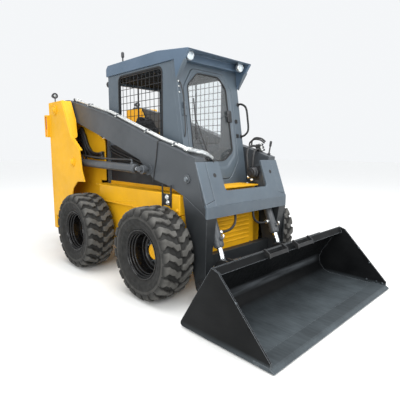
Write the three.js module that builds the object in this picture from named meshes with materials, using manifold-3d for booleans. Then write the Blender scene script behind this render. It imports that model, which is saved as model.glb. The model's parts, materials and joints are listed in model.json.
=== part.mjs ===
// A skid steer loader with a bucket: every sub-part is a named mesh of its own, in millimetres.
// +X points forward, +Y to the machine's left, +Z up. The ground is z = 0, and x = 0 is midway
// between the axles until the last group moves the origin to the middle of the whole machine.
import * as THREE from 'three';
import { mergeVertices } from 'three/addons/utils/BufferGeometryUtils.js';
import Module from 'manifold-3d';

const wasm = await Module();
wasm.setup();

// ---- driving dimensions ----

const gap = 0.3; // between pieces that touch
const clear = 8; // between pieces that move past each other
const plate = 12; // frame plates
const overlap = 4; // how far welded plates run into each other

const wheelbase = 1260;
const foreAxle = wheelbase / 2;
const aftAxle = -wheelbase / 2;

const tyre = {
  radius: 417.5, width: 306, sides: 28, beadWidth: 235.4, belly: 125, sidewall: 50, shoulder: 36,
};
const rim = {
  seatRadius: 209.5, flange: 12.5, lip: 10, wall: 8,
  discRadius: 168, discDepth: 2, dishHeight: 60, dishTop: 74,
};
const hub = {
  radius: 70, height: 52, chamfer: 10, flangeRadius: 125, flangeDepth: 34, shaftRadius: 45, shaftLength: 150,
};
const housing = { radius: 85, reach: 90, bore: 1 };

const tub = { half: 440, bottom: 250, top: 735, rear: aftAxle - 930, noseFront: foreAxle + 250 };
const chainCase = { width: 120, front: foreAxle + 175, rear: aftAxle - 170 };
const fender = { width: 150, top: 925, front: foreAxle + 165, rear: aftAxle + 15 };
const tyreToFender = 32;
const footwell = { rear: foreAxle - 380, floor: 700 };
const deckLip = { reach: 97, half: 300, height: 23 };
const bulkhead = { x: aftAxle - 35, top: 1479.7 };

const cab = {
  floor: 957, ceiling: 2130, half: tub.half - 10, rear: aftAxle + 10,
  toe: foreAxle + 98, lean: 0.155, wall: 30, skin: 4, rail: 50, frontDepth: 45, rearDepth: 20,
};
const sideWindow = { rear: 220, front: 140, sill: 423, head: 30, radius: 60 };
const rearWindow = { half: 300, sill: 543, head: 80 };
const screen = { wire: 8, pitch: 150, border: 18, depth: 6, inset: 4 };
const roof = {
  height: 120, overhang: 15, tail: 20, visor: 194, brim: 14, drop: 50, slope: 440,
  finTop: 60, finFoot: 173, finWidth: 30,
};
const door = { left: 330, right: 360, bottom: 69, top: 42, crown: 110, play: 6, depth: 30 };
const doorWindow = { side: 44, sill: 248, head: 34, radius: 50, crown: 120, glass: 6 };
const hinge = { radius: 10, standoff: 14, offset: 15, length: 60, spacing: 520, first: 160, play: 5 };
const frontLamp = { radius: 39, depth: 48, y: 352, height: 23 };
const beacon = { base: 42, baseHeight: 30, radius: 30, height: 160, x: 110, y: -300 };

const arm = { inner: tub.half + gap + plate + 15, width: 112, foot: 62 };
const armTubes = { radius: 9, spacing: 36, lift: 22, clamp: 40, margin: 18 };
const coupler = { x: 130, length: 80, height: 80, width: 67 };
const crossPlate = { top: 962, bend: 849, bottom: 750 };
const crossBeam = { rear: foreAxle + 300, front: foreAxle + 370, bottom: 280, top: 390 };
const liftCylinder = {
  radius: 43, rod: 25, eye: 42, eyeWidth: 46, pin: 22, gland: 1190, tail: 980, spare: 30,
};
const tiltCylinder = {
  radius: 43, rod: 24, eye: 40, eyeWidth: 42, pin: 20, gland: 625, tail: 510, spare: 95,
};
const pinPlay = 1;
const boreClear = 0.8;
const liftToArm = 18;
const liftToUpright = 30;

// Pivots, as [x, z] in the machine's side plane.
const armPivot = [aftAxle - 790, 1800];
const liftBase = [aftAxle - 350, 1165];
const liftEye = [foreAxle - 305, 1130];
const tiltBase = [foreAxle + 250, 1070];
const couplerPin = [foreAxle + 425, 170];
const couplerCrank = { length: 210, angle: THREE.MathUtils.degToRad(57) };
const tiltEye = [
  couplerPin[0] + couplerCrank.length * Math.cos(couplerCrank.angle),
  couplerPin[1] + couplerCrank.length * Math.sin(couplerCrank.angle),
];

const upright = { bottom: 460, top: 1900, rear: aftAxle - 970, flange: 24, boss: 62 };
const hoseSlot = { centre: [aftAxle - 850, 1180], radius: 368, width: 60, from: 4, to: 78 };
const hose = { radius: 16, standoff: 32 };
const bumper = { depth: 90, bottom: 270, half: 710 };
const tailLight = { depth: 80, width: 70, bottom: 1470, top: 1750 };
const rearLamp = { radius: 45, depth: 55, height: 100, stem: 10 };
const engine = { front: aftAxle - 130, rear: aftAxle - 800, half: 240, top: 900 };
const engineCover = { thick: 20, play: 7, rear: aftAxle - 960 };
const rearDoor = { bottom: 480, top: 1475, thick: 40, lap: 60, recess: 12, frame: 60 };

const bucket = { half: 965, wall: 12, cheek: 14, heelRadius: 150, ground: 10, back: 626 };
const edge = { reach: 113, overlap: 40, lift: 8, bevel: 33 };
const cheekPlates = 14; // ears of the coupler

// ---- values that follow from them ----

const axleHeight = tyre.radius * Math.cos(Math.PI / tyre.sides); // the tyre stands on one flat side
const caseOuter = tub.half + chainCase.width;
const fenderOuter = tub.half + fender.width;
const tyreInner = fenderOuter + tyreToFender;
const wheelMiddle = tyreInner + tyre.width / 2;
const armOuter = arm.inner + arm.width;
const liftY = armOuter + liftToArm + liftCylinder.radius;
const tiltY = arm.inner - clear + 1 - tiltCylinder.radius;
const noseHalf = tiltY - tiltCylinder.radius - clear - 1;
const outerPlate = liftY + liftCylinder.radius + liftToUpright;
const leanAngle = Math.atan(cab.lean);
const cabFront = (z) => cab.toe - cab.lean * (z - cab.floor);
const pillarBack = (z) => cabFront(z) - cab.frontDepth / Math.cos(leanAngle);
const slopeTop = (cab.ceiling - cab.floor) / Math.cos(leanAngle);
const windowRear = cab.rear + sideWindow.rear;
const windowFront = pillarBack(cab.ceiling) - sideWindow.front;
const windowSill = cab.floor + sideWindow.sill;
const windowHead = cab.ceiling - sideWindow.head;

// ---- solids ----

const vector2 = ([a, b]) => new THREE.Vector2(a, b);

// A three.js geometry as a solid that can be joined and cut.
function solidOf(geometry) {
  const bare = geometry.index ? geometry.toNonIndexed() : geometry.clone();
  bare.deleteAttribute('normal');
  bare.deleteAttribute('uv');
  const merged = mergeVertices(bare, 1e-3);
  const index = merged.index.array;
  const triangles = [];
  for (let i = 0; i < index.length; i += 3) {
    const [a, b, c] = index.slice(i, i + 3);
    if (a !== b && b !== c && c !== a) triangles.push(a, b, c);
  }
  return new wasm.Manifold(new wasm.Mesh({
    numProp: 3,
    vertProperties: merged.attributes.position.array,
    triVerts: new Uint32Array(triangles),
  }));
}

function geometryOf(solid) {
  const mesh = solid.getMesh();
  const geometry = new THREE.BufferGeometry();
  geometry.setAttribute('position', new THREE.BufferAttribute(mesh.vertProperties, 3));
  geometry.setIndex(new THREE.BufferAttribute(mesh.triVerts, 1));
  geometry.computeVertexNormals();
  return geometry;
}

const join = (...solids) => solids.flat().reduce((all, next) => all.add(next));
const cut = (solid, ...tools) => tools.flat().reduce((left, tool) => left.subtract(tool), solid);

// The outline with its corners rounded. A corner is [a, b], or [a, b, radius] where it is round.
function rounded(corners, steps = 4) {
  return corners.flatMap(([a, b, radius = 0], i) => {
    const corner = new THREE.Vector2(a, b);
    if (!radius) return [corner];
    const back = vector2(corners.at(i - 1)).sub(corner).normalize();
    const on = vector2(corners[(i + 1) % corners.length]).sub(corner).normalize();
    const half = Math.acos(THREE.MathUtils.clamp(back.dot(on), -1, 1)) / 2;
    const centre = back.clone().add(on).normalize().multiplyScalar(radius / Math.sin(half)).add(corner);
    const start = back.multiplyScalar(radius / Math.tan(half)).add(corner).sub(centre).angle();
    const end = on.multiplyScalar(radius / Math.tan(half)).add(corner).sub(centre).angle();
    const turn = THREE.MathUtils.euclideanModulo(end - start + Math.PI, 2 * Math.PI) - Math.PI;
    return Array.from({ length: steps + 1 }, (_, k) => {
      const angle = start + (turn * k) / steps;
      return new THREE.Vector2(Math.cos(angle), Math.sin(angle)).multiplyScalar(radius).add(centre);
    });
  });
}

// A flat outline pushed through a thickness, in the frame of the given basis vectors.
function extruded(corners, low, high, [across, up, through], origin, holes) {
  const shape = new THREE.Shape(rounded(corners));
  shape.holes = holes.map((hole) => new THREE.Path(rounded(hole)));
  const geometry = new THREE.ExtrudeGeometry(shape, { depth: high - low, bevelEnabled: false });
  geometry.translate(0, 0, low);
  geometry.applyMatrix4(new THREE.Matrix4().makeBasis(across, up, through).setPosition(origin));
  return solidOf(geometry);
}

const xAxis = new THREE.Vector3(1, 0, 0);
const yAxis = new THREE.Vector3(0, 1, 0);
const zAxis = new THREE.Vector3(0, 0, 1);
const zero = new THREE.Vector3();

// An outline of [x, z] corners through y, on either side of the machine.
function sidePlate(corners, y0, y1, holes = []) {
  const [low, high] = [Math.min(-y0, -y1), Math.max(-y0, -y1)];
  return extruded(corners, low, high, [xAxis, zAxis, yAxis.clone().negate()], zero, holes);
}

// An outline of [y, height] corners in the leaning plane of the cab's front, through its depth.
const slopeUp = new THREE.Vector3(-Math.sin(leanAngle), 0, Math.cos(leanAngle));
const slopeOut = new THREE.Vector3(Math.cos(leanAngle), 0, Math.sin(leanAngle));
const slopeFoot = new THREE.Vector3(cab.toe, 0, cab.floor);
const frontPlate = (corners, low, high, holes = []) =>
  extruded(corners, low, high, [yAxis, slopeUp, slopeOut], slopeFoot, holes);

const rectangle = (a0, a1, b0, b1, radius = 0, topRadius = radius) =>
  [[a0, b0, radius], [a1, b0, radius], [a1, b1, topRadius], [a0, b1, topRadius]];

function box(x0, x1, y0, y1, z0, z1) {
  const geometry = new THREE.BoxGeometry(x1 - x0, Math.abs(y1 - y0), z1 - z0);
  geometry.translate((x0 + x1) / 2, (y0 + y1) / 2, (z0 + z1) / 2);
  return solidOf(geometry);
}

// A round bar between two points.
function bar(from, to, radius, sides = 16) {
  const start = new THREE.Vector3(...from);
  const run = new THREE.Vector3(...to).sub(start);
  const geometry = new THREE.CylinderGeometry(radius, radius, run.length(), sides);
  geometry.translate(0, run.length() / 2, 0);
  geometry.applyQuaternion(new THREE.Quaternion().setFromUnitVectors(yAxis, run.normalize()));
  geometry.translate(...from);
  return solidOf(geometry);
}

const crossBar = ([x, z], y0, y1, radius, sides) => bar([x, y0, z], [x, y1, z], radius, sides);

// A bent tube through the given points.
function tube(points, radius, steps = 24) {
  const path = new THREE.CatmullRomCurve3(points.map((p) => new THREE.Vector3(...p)), false, 'centripetal');
  const section = new THREE.Shape().absarc(0, 0, radius, 0, 2 * Math.PI);
  return solidOf(new THREE.ExtrudeGeometry(section, {
    steps, extrudePath: path, curveSegments: 4, bevelEnabled: false,
  }));
}

// A band along a line of [a, b] points, to the right of its direction.
function band(points, width) {
  const line = points.map(vector2);
  const far = line.map((point, i) => {
    const run = line[Math.min(i + 1, line.length - 1)].clone().sub(line[Math.max(i - 1, 0)]).normalize();
    return [point.x + run.y * width, point.y - run.x * width];
  });
  return [...points, ...far.reverse()];
}

// A profile of [radius, height] points turned about the y axis.
const turned = (profile, sides) => solidOf(new THREE.LatheGeometry(profile.map(vector2), sides));

// ---- finishes ----

const finish = (color, roughness, metalness) => ({ color, roughness, metalness });
const yellowPaint = finish('#eebb30', 0.42, 0.1);
const greyPaint = finish('#5f7585', 0.45, 0.15);
const armPaint = finish('#585a5f', 0.45, 0.2);
const blackPaint = finish('#202123', 0.5, 0.2);
const glossBlack = finish('#101012', 0.15, 0.1);
const wornSteel = finish('#6a7278', 0.35, 0.8);
const chrome = finish('#d8dcde', 0.08, 1);
const tyreRubber = finish('#4b4b4b', 0.9, 0);
const hoseRubber = finish('#161616', 0.7, 0);
const darkVinyl = finish('#1d1e20', 0.75, 0);
const lampWhite = finish('#f2f4f4', 0.2, 0);
const lampRed = finish('#a3201a', 0.25, 0);
const clearGlass = finish('#b9c6cc', 0.05, 0);

const machine = new THREE.Group();

function add(name, solid, look, parent = machine) {
  const mesh = new THREE.Mesh(geometryOf(solid), new THREE.MeshStandardMaterial(look));
  mesh.name = name;
  parent.add(mesh);
  return mesh;
}

const sides = [{ side: 'left', way: 1 }, { side: 'right', way: -1 }];

// ---- wheels ----

function tyreSolid() {
  const bead = tyre.beadWidth / 2;
  const half = tyre.width / 2;
  const seat = rim.seatRadius + gap;
  const flange = rim.seatRadius + rim.flange + gap;
  const face = [
    [seat, bead], [flange, bead], [flange + 14, half - 15], [tyre.radius - tyre.belly, half],
    [tyre.radius - tyre.sidewall, half - 3], [tyre.radius, half - tyre.shoulder],
  ];
  const ring = [...face, ...face.map(([r, u]) => [r, -u]).reverse()];
  return turned([...ring, ring[0]].reverse(), tyre.sides);
}

// The rim's disc, barrel and flanges with the hub that they are bolted to.
function rimSolid() {
  const bead = tyre.beadWidth / 2 + gap;
  const seat = rim.seatRadius;
  const flange = seat + rim.flange;
  const inside = seat - rim.wall;
  return turned([
    [0, hub.height], [hub.radius - hub.chamfer, hub.height], [hub.radius, hub.height - hub.chamfer],
    [hub.radius, rim.discDepth], [rim.discRadius, rim.discDepth], [rim.discRadius + 10, rim.dishHeight],
    [inside, rim.dishTop], [inside, bead], [flange, bead + rim.lip], [flange, bead], [seat, bead],
    [seat, -bead], [flange, -bead], [flange, -bead - rim.lip], [inside, -bead],
    [rim.discRadius + 12, -rim.lip], [hub.flangeRadius, -rim.lip], [hub.flangeRadius, -hub.flangeDepth],
    [hub.shaftRadius, -hub.flangeDepth], [hub.shaftRadius, -hub.shaftLength], [0, -hub.shaftLength],
  ].reverse(), tyre.sides);
}

function addWheels() {
  const tyreShape = tyreSolid();
  const rimShape = rimSolid();
  for (const { side, way } of sides) {
    for (const [end, axle] of [['front', foreAxle], ['rear', aftAxle]]) {
      const wheel = new THREE.Group();
      wheel.position.set(axle, way * wheelMiddle, axleHeight);
      wheel.rotation.x = way > 0 ? 0 : Math.PI;
      wheel.rotation.y = Math.PI / tyre.sides;
      add(`tyre_${end}_${side}`, tyreShape, tyreRubber, wheel);
      add(`rim_${end}_${side}`, rimShape, glossBlack, wheel);
      machine.add(wheel);
    }
  }
}

// ---- chassis ----

// The welded tub: belly, engine bay walls, chain cases, footwell, nose and axle housings.
function mainFrame() {
  const { half, bottom, top, rear, noseFront } = tub;
  const caseFront = chainCase.front;
  const wellFloor = footwell.floor;
  const pieces = [
    box(rear, caseFront, -half, half, bottom, bottom + plate),
    box(caseFront - overlap, noseFront, -noseHalf, noseHalf, bottom, bottom + plate),
    box(footwell.rear - plate, caseFront, -cab.half, cab.half, wellFloor, wellFloor + plate),
    box(caseFront - overlap, noseFront, -noseHalf, noseHalf, wellFloor, wellFloor + plate),
    box(footwell.rear - plate, footwell.rear, -cab.half, cab.half, wellFloor, cab.floor),
    box(cab.rear, footwell.rear, -cab.half, cab.half, cab.floor - plate, cab.floor),
    box(noseFront - plate, noseFront, -noseHalf, noseHalf, bottom, cab.floor),
    box(cab.toe - 40, noseFront, -noseHalf, noseHalf, cab.floor - plate, cab.floor),
    box(cab.toe + plate, noseFront, -deckLip.half, deckLip.half,
      cab.floor - plate, cab.floor + deckLip.height),
    box(noseFront - overlap, noseFront + deckLip.reach, -deckLip.half, deckLip.half,
      cab.floor + deckLip.height - plate, cab.floor + deckLip.height),
    box(bulkhead.x, bulkhead.x + plate, -half + plate + clear, half - plate - clear, top, bulkhead.top),
    box(bulkhead.x, cab.rear + plate, -half, half, top - plate, top),
  ];
  for (const { way } of sides) {
    pieces.push(
      box(rear, chainCase.rear + overlap, way * (half - plate), way * half, bottom, top),
      box(chainCase.rear, caseFront, way * (half - plate), way * caseOuter, bottom, top),
      box(cab.rear, caseFront, way * (cab.half - plate), way * cab.half, top - plate, cab.floor),
      box(caseFront - plate, caseFront, way * (noseHalf - plate), way * (cab.half - overlap),
        bottom, cab.floor),
      box(caseFront - overlap, noseFront, way * (noseHalf - plate), way * noseHalf, bottom, cab.floor),
    );
    for (const axle of [foreAxle, aftAxle]) {
      pieces.push(crossBar([axle, axleHeight], way * (caseOuter - overlap), way * (caseOuter + housing.reach),
        housing.radius));
    }
  }
  const bores = sides.flatMap(({ way }) => [foreAxle, aftAxle].map((axle) => {
    const shaftEnd = wheelMiddle - hub.shaftLength;
    return crossBar([axle, axleHeight], way * (shaftEnd - clear), way * (caseOuter + housing.reach + overlap),
      hub.shaftRadius + housing.bore, tyre.sides);
  }));
  return cut(join(pieces), bores);
}

function addFender(side, way) {
  add(`fender_${side}`, box(fender.rear, fender.front, way * (cab.half + gap), way * fenderOuter,
    tub.top + gap, fender.top), yellowPaint);
}

// The tower of two plates that carries one lift arm and the foot of its lift cylinder.
function uprightSolid(way) {
  const { bottom, top, rear, flange, boss } = upright;
  const inner = tub.half + gap;
  const outer = outerPlate + plate;
  const brow = [[aftAxle - 600, top], [aftAxle - 370, 1450], [aftAxle - 170, 1300]];
  const outerOutline = [
    [rear, bottom], [aftAxle - 490, bottom], [aftAxle - 470, 600], [aftAxle - 370, 850, 60],
    [aftAxle - 250, 940, 40], [aftAxle - 70, 950], [aftAxle - 130, 1075, 60], [aftAxle - 150, 1200],
    ...brow.toReversed(), [rear, top],
  ];
  const innerOutline = [
    [rear, bottom], [chainCase.rear - plate, bottom], [chainCase.rear - plate, 950], [aftAxle - 70, 950],
    [aftAxle - 70, 1420, 40], [aftAxle - 380, 1560], [aftAxle - 600, top], [rear, top],
  ];
  const slot = Array.from({ length: 9 }, (_, i) => {
    const angle = THREE.MathUtils.degToRad(THREE.MathUtils.lerp(hoseSlot.from, hoseSlot.to, i / 8));
    const radius = hoseSlot.radius + hoseSlot.width / 2;
    return [hoseSlot.centre[0] + radius * Math.cos(angle), hoseSlot.centre[1] + radius * Math.sin(angle)];
  });
  return join(
    sidePlate(innerOutline, way * inner, way * (inner + plate), [band(slot, -hoseSlot.width)]),
    sidePlate(outerOutline, way * outerPlate, way * outer),
    sidePlate(band(brow, -plate), way * (outerPlate - flange), way * (outerPlate + overlap)),
    box(rear, rear + plate, way * inner, way * outer, bottom, top),
    box(rear, aftAxle - 490, way * inner, way * outer, bottom, bottom + plate),
    crossBar(armPivot, way * (inner + overlap), way * (outer + plate), liftCylinder.pin + 8),
    crossBar(armPivot, way * (outer - overlap), way * (outer + plate), boss),
    crossBar(liftBase, way * (inner + overlap), way * (outer + plate), liftCylinder.pin),
    crossBar(liftBase, way * (outer - overlap), way * (outer + plate), boss - 6),
  );
}

// A stiff hose that runs along the slot, with both ends on the inner plate.
function frameHose(way) {
  const face = tub.half + gap + plate + gap;
  const at = (degrees, y) => {
    const angle = THREE.MathUtils.degToRad(degrees);
    return [hoseSlot.centre[0] + hoseSlot.radius * Math.cos(angle), way * y,
      hoseSlot.centre[1] + hoseSlot.radius * Math.sin(angle)];
  };
  const out = face + hose.standoff;
  return tube([
    at(-6, face), at(-6, face + 14), at(4, out), at(20, out), at(40, out), at(60, out), at(76, out),
    at(86, face + 14), at(86, face),
  ], hose.radius, 28);
}

function addRear() {
  add('rear_bumper', box(upright.rear - bumper.depth / 2, tub.rear - gap, -bumper.half, bumper.half,
    bumper.bottom, upright.bottom - gap), yellowPaint);
  add('engine_block', join(
    box(engine.rear, engine.front, -engine.half, engine.half, tub.bottom + plate + gap, engine.top),
    box(engine.rear + 90, engine.front - 120, -engine.half + 90, engine.half - 90,
      engine.top - overlap, engine.top + 150),
    box(upright.rear + 60, engine.rear + overlap, -engine.half - 110, engine.half + 110, 420, 1200),
  ), blackPaint);
  const coverSide = tub.half + gap - engineCover.play;
  add('engine_cover', box(engineCover.rear, bulkhead.x + plate - 2, -coverSide, coverSide,
    bulkhead.top + gap, bulkhead.top + gap + engineCover.thick), yellowPaint);
  const doorSide = tub.half + rearDoor.lap;
  const doorFront = upright.rear - gap;
  const doorBack = doorFront - rearDoor.thick;
  const rearDoorSolid = cut(
    box(doorBack, doorFront, -doorSide, doorSide, rearDoor.bottom, rearDoor.top),
    box(doorBack - 1, doorBack + rearDoor.recess, rearDoor.frame - doorSide, doorSide - rearDoor.frame,
      rearDoor.bottom + rearDoor.frame, rearDoor.top - rearDoor.frame),
  );
  add('rear_door', rearDoorSolid, yellowPaint);
  for (const { side, way } of sides) {
    const lightInner = outerPlate - 25;
    add(`tail_light_${side}`, box(upright.rear - tailLight.depth, upright.rear - gap, way * lightInner,
      way * (lightInner + tailLight.width), tailLight.bottom, tailLight.top), lampRed);
    const lampZ = upright.top + rearLamp.height;
    add(`rear_lamp_${side}`, join(
      box(upright.rear + 1, upright.rear + 1 + rearLamp.stem, way * (liftY - 15), way * (liftY + 15),
        upright.top + gap, lampZ - rearLamp.radius + overlap),
      bar([upright.rear - 38, way * liftY, lampZ], [upright.rear - 38 + rearLamp.depth, way * liftY, lampZ],
        rearLamp.radius),
    ), lampWhite);
  }
}

// ---- cab ----

// One cab side: a tube frame with a thin skin below the window.
function cabSide(way) {
  const z0 = cab.floor + gap;
  const z1 = cab.ceiling - gap;
  const back = (z) => pillarBack(z) - gap;
  const window = rectangle(windowRear, windowFront, windowSill, windowHead, sideWindow.radius);
  const outer = way * cab.half;
  const inner = way * (cab.half - cab.wall);
  return cut(
    sidePlate([[cab.rear, z0], [back(z0), z0], [back(z1), z1], [cab.rear, z1]], inner, outer, [window]),
    box(cab.rear + cab.rail, back(windowSill) - cab.rail, inner - way, outer - way * cab.skin,
      z0 + cab.rail, windowSill - cab.rail),
  );
}

// A welded screen in the side window: a border with wires both ways.
function screenSolid(way) {
  const [x0, x1] = [windowRear + gap, windowFront - gap];
  const [z0, z1] = [windowSill + gap, windowHead - gap];
  const columns = Math.round((x1 - x0) / screen.pitch);
  const rows = Math.round((z1 - z0) / screen.pitch);
  const wide = (x1 - x0 - 2 * screen.border + screen.wire) / columns;
  const high = (z1 - z0 - 2 * screen.border + screen.wire) / rows;
  const outer = cab.half - screen.inset;
  const holes = [];
  for (let i = 0; i < columns; i += 1) {
    for (let j = 0; j < rows; j += 1) {
      const x = x0 + screen.border + i * wide;
      const z = z0 + screen.border + j * high;
      const corner = (i === 0 || i === columns - 1) && (j === 0 || j === rows - 1);
      if (corner) continue;
      holes.push(box(x, x + wide - screen.wire, way * (outer - 2 * screen.depth), way * cab.half,
        z, z + high - screen.wire));
    }
  }
  const sheet = rectangle(x0, x1, z0, z1, sideWindow.radius);
  return cut(sidePlate(sheet, way * (outer - screen.depth), way * outer), holes);
}

// The roof slab with its sloping visor, and a fin under each end of the visor.
function roofSolid() {
  const low = cab.ceiling;
  const high = cab.ceiling + roof.height;
  const half = cab.half + roof.overhang;
  const brimX = cabFront(low) + roof.visor;
  const fascia = cabFront(low) + roof.finTop;
  const brimZ = high - roof.drop;
  const finFoot = low - roof.finFoot;
  const fin = [
    [cabFront(finFoot) + gap, finFoot], [brimX, brimZ - roof.brim], [fascia, brimZ],
    [fascia, low + overlap], [cabFront(low) + gap, low + overlap],
  ];
  return join(
    sidePlate([
      [cab.rear - roof.tail, low], [fascia, low], [fascia, brimZ], [brimX, brimZ - roof.brim],
      [brimX, brimZ], [brimX - roof.slope, high],
      [cab.rear + roof.tail, high], [cab.rear - roof.tail, high - 35],
    ], -half, half),
    sides.map(({ way }) => sidePlate(fin, way * (half - roof.finWidth), way * half)),
  );
}

// The leaning front of the cab: pillars, header and sill round the doorway, and its hinge knuckles.
function cabFrontFrame() {
  const z0 = cab.floor + gap;
  const z1 = cab.ceiling - gap;
  const doorway = rectangle(-door.right, door.left, door.bottom, slopeTop - door.top, 0, door.crown);
  return join(
    cut(
      sidePlate([
        [pillarBack(z0), z0], [cabFront(z0), z0], [cabFront(z1), z1], [pillarBack(z1), z1],
      ], -cab.half, cab.half),
      frontPlate(doorway, -cab.frontDepth - 1, 1),
    ),
    hingeHeights().map((s) => knuckle(s - hinge.length - hinge.play, hingeAxisY - hinge.radius - 6)),
  );
}

const hingeHeights = () => [hinge.first, hinge.first + hinge.spacing].map((s) => s + door.bottom);
const hingeAxisY = -door.right - hinge.offset;

// A hinge knuckle that starts at a height on the slope, with a leaf that reaches to the given y.
function knuckle(height, leafY) {
  const at = (s) => slopeFoot.clone().addScaledVector(slopeUp, s).addScaledVector(slopeOut, hinge.standoff)
    .add(new THREE.Vector3(0, hingeAxisY, 0)).toArray();
  const [low, high] = [Math.min(leafY, hingeAxisY), Math.max(leafY, hingeAxisY)];
  const depth = leafY < hingeAxisY ? -overlap : 5;
  return join(
    bar(at(height), at(height + hinge.length), hinge.radius, 16),
    frontPlate(rectangle(low, high, height, height + hinge.length), depth, hinge.standoff),
  );
}

function addDoor() {
  const [low, high] = [-door.right + door.play, door.left - door.play];
  const [bottom, top] = [door.bottom + door.play, slopeTop - door.top - door.play];
  const opening = (inset) => rectangle(low + doorWindow.side + inset, high - doorWindow.side - inset,
    doorWindow.sill + inset, top - doorWindow.head - inset, doorWindow.radius, doorWindow.crown);
  const leaves = hingeHeights().map((s) => join(
    knuckle(s, low + 25),
    frontPlate(rectangle(low + 5, low + 25, s, s + hinge.length), -overlap, hinge.standoff),
  ));
  add('cab_door', join(
    frontPlate(rectangle(low, high, bottom, top, 0, door.crown - door.play), -door.depth, 0, [opening(0)]),
    leaves,
  ), greyPaint);
  const [inside, outside] = [-1, 1].map((way) => (way * doorWindow.glass - door.depth) / 2);
  add('cab_door_glass', frontPlate(opening(gap), inside, outside), clearGlass);
}

function addCabInside() {
  const floor = cab.floor + gap;
  const seatTop = cab.floor + 223;
  const cushionTop = seatTop + 100;
  const seatRear = cab.rear + 160;
  add('seat_base', box(seatRear + 30, seatRear + 380, -200, 200, floor, seatTop), blackPaint);
  add('seat_cushion', box(seatRear, seatRear + 480, -235, 235, seatTop + gap, cushionTop), darkVinyl);
  add('seat_back', sidePlate([
    [seatRear - 80, cushionTop + gap], [seatRear + 20, cushionTop + gap],
    [seatRear - 20, cushionTop + 460], [seatRear - 120, cushionTop + 460],
  ], -235, 235), darkVinyl);
  const barRear = cab.rear + cab.rearDepth + gap;
  const barHeight = cushionTop + 130;
  const halfBar = [[barRear, 300, barHeight + 60], [barRear + 30, 300, barHeight + 60],
    [barRear + 90, 300, barHeight + 60], [barRear + 500, 300, barHeight + 15],
    [barRear + 640, 270, barHeight], [barRear + 700, 150, barHeight]];
  const otherHalf = halfBar.toReversed().map(([x, y, z]) => [x, -y, z]);
  add('lap_bar', tube([...halfBar, ...otherHalf], 14, 32), blackPaint);
  for (const { side, way } of sides) {
    const inner = cab.half - cab.wall - gap;
    const stickX = foreAxle - 430;
    const consoleTop = cab.floor + 343;
    const stickAt = (height) => [stickX, way * (inner - 55), consoleTop + height];
    add(`control_${side}`, join(
      box(seatRear + 60, foreAxle - 370, way * (inner - 95), way * inner, floor, consoleTop),
      bar(stickAt(-overlap), stickAt(80), 9, 12),
      bar(stickAt(70), stickAt(175), 22, 12),
    ), blackPaint);
  }
}

function addCab() {
  for (const { side, way } of sides) {
    add(`cab_side_${side}`, cabSide(way), greyPaint);
    add(`cab_screen_${side}`, screenSolid(way), blackPaint);
    const lampX = cabFront(cab.ceiling) + roof.finTop + gap;
    const lampZ = cab.ceiling + frontLamp.height;
    const lampY = way * frontLamp.y;
    const lamp = bar([lampX, lampY, lampZ], [lampX + frontLamp.depth, lampY, lampZ], frontLamp.radius);
    add(`front_lamp_${side}`, lamp, lampWhite);
  }
  const inner = cab.half - cab.wall - gap;
  add('cab_rear_panel', cut(
    box(cab.rear, cab.rear + cab.rearDepth, -inner, inner, cab.floor + gap, cab.ceiling - gap),
    box(cab.rear - 1, cab.rear + cab.rearDepth + 1, -rearWindow.half, rearWindow.half,
      cab.floor + rearWindow.sill, cab.ceiling - rearWindow.head),
  ), greyPaint);
  add('cab_front_frame', cabFrontFrame(), greyPaint);
  add('cab_roof', roofSolid(), greyPaint);
  const roofTop = cab.ceiling + roof.height + gap;
  const beaconAt = (height) => [cab.rear + beacon.x, beacon.y, roofTop + height];
  add('roof_beacon', join(
    bar(beaconAt(0), beaconAt(beacon.baseHeight), beacon.base),
    bar(beaconAt(beacon.baseHeight - overlap), beaconAt(beacon.height), beacon.radius),
  ), blackPaint);
  const grip = (s, out, y) => slopeFoot.clone().addScaledVector(slopeUp, s).addScaledVector(slopeOut, out)
    .setY(y).toArray();
  add('grab_handle', tube([
    grip(850, gap, cab.half - 18), grip(850, 15, cab.half - 18), grip(848, 40, cab.half - 16),
    grip(810, 84, cab.half), grip(680, 94, cab.half + 6), grip(550, 84, cab.half),
    grip(512, 40, cab.half - 16), grip(510, 15, cab.half - 18), grip(510, gap, cab.half - 18),
  ], 11, 32), blackPaint);
  addDoor();
  addCabInside();
}

// ---- lift arms ----

const armTop = [
  [armPivot[0] + 95, armPivot[1] + 127], [foreAxle - 1023, 1695], [foreAxle - 145, 1398],
  [foreAxle + 55, 1345], [foreAxle + 349, 1251],
];

// The height of an arm's upper edge at x.
function armTopAt(x) {
  const next = armTop.findIndex(([a]) => a >= x);
  const [a, b] = [armTop[next - 1], armTop[next]];
  return THREE.MathUtils.mapLinear(x, a[0], b[0], a[1], b[1]);
}

const towerFace = (z) => foreAxle + 358 + (1210 - z) * 0.2687; // the sloping front of the towers

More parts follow.
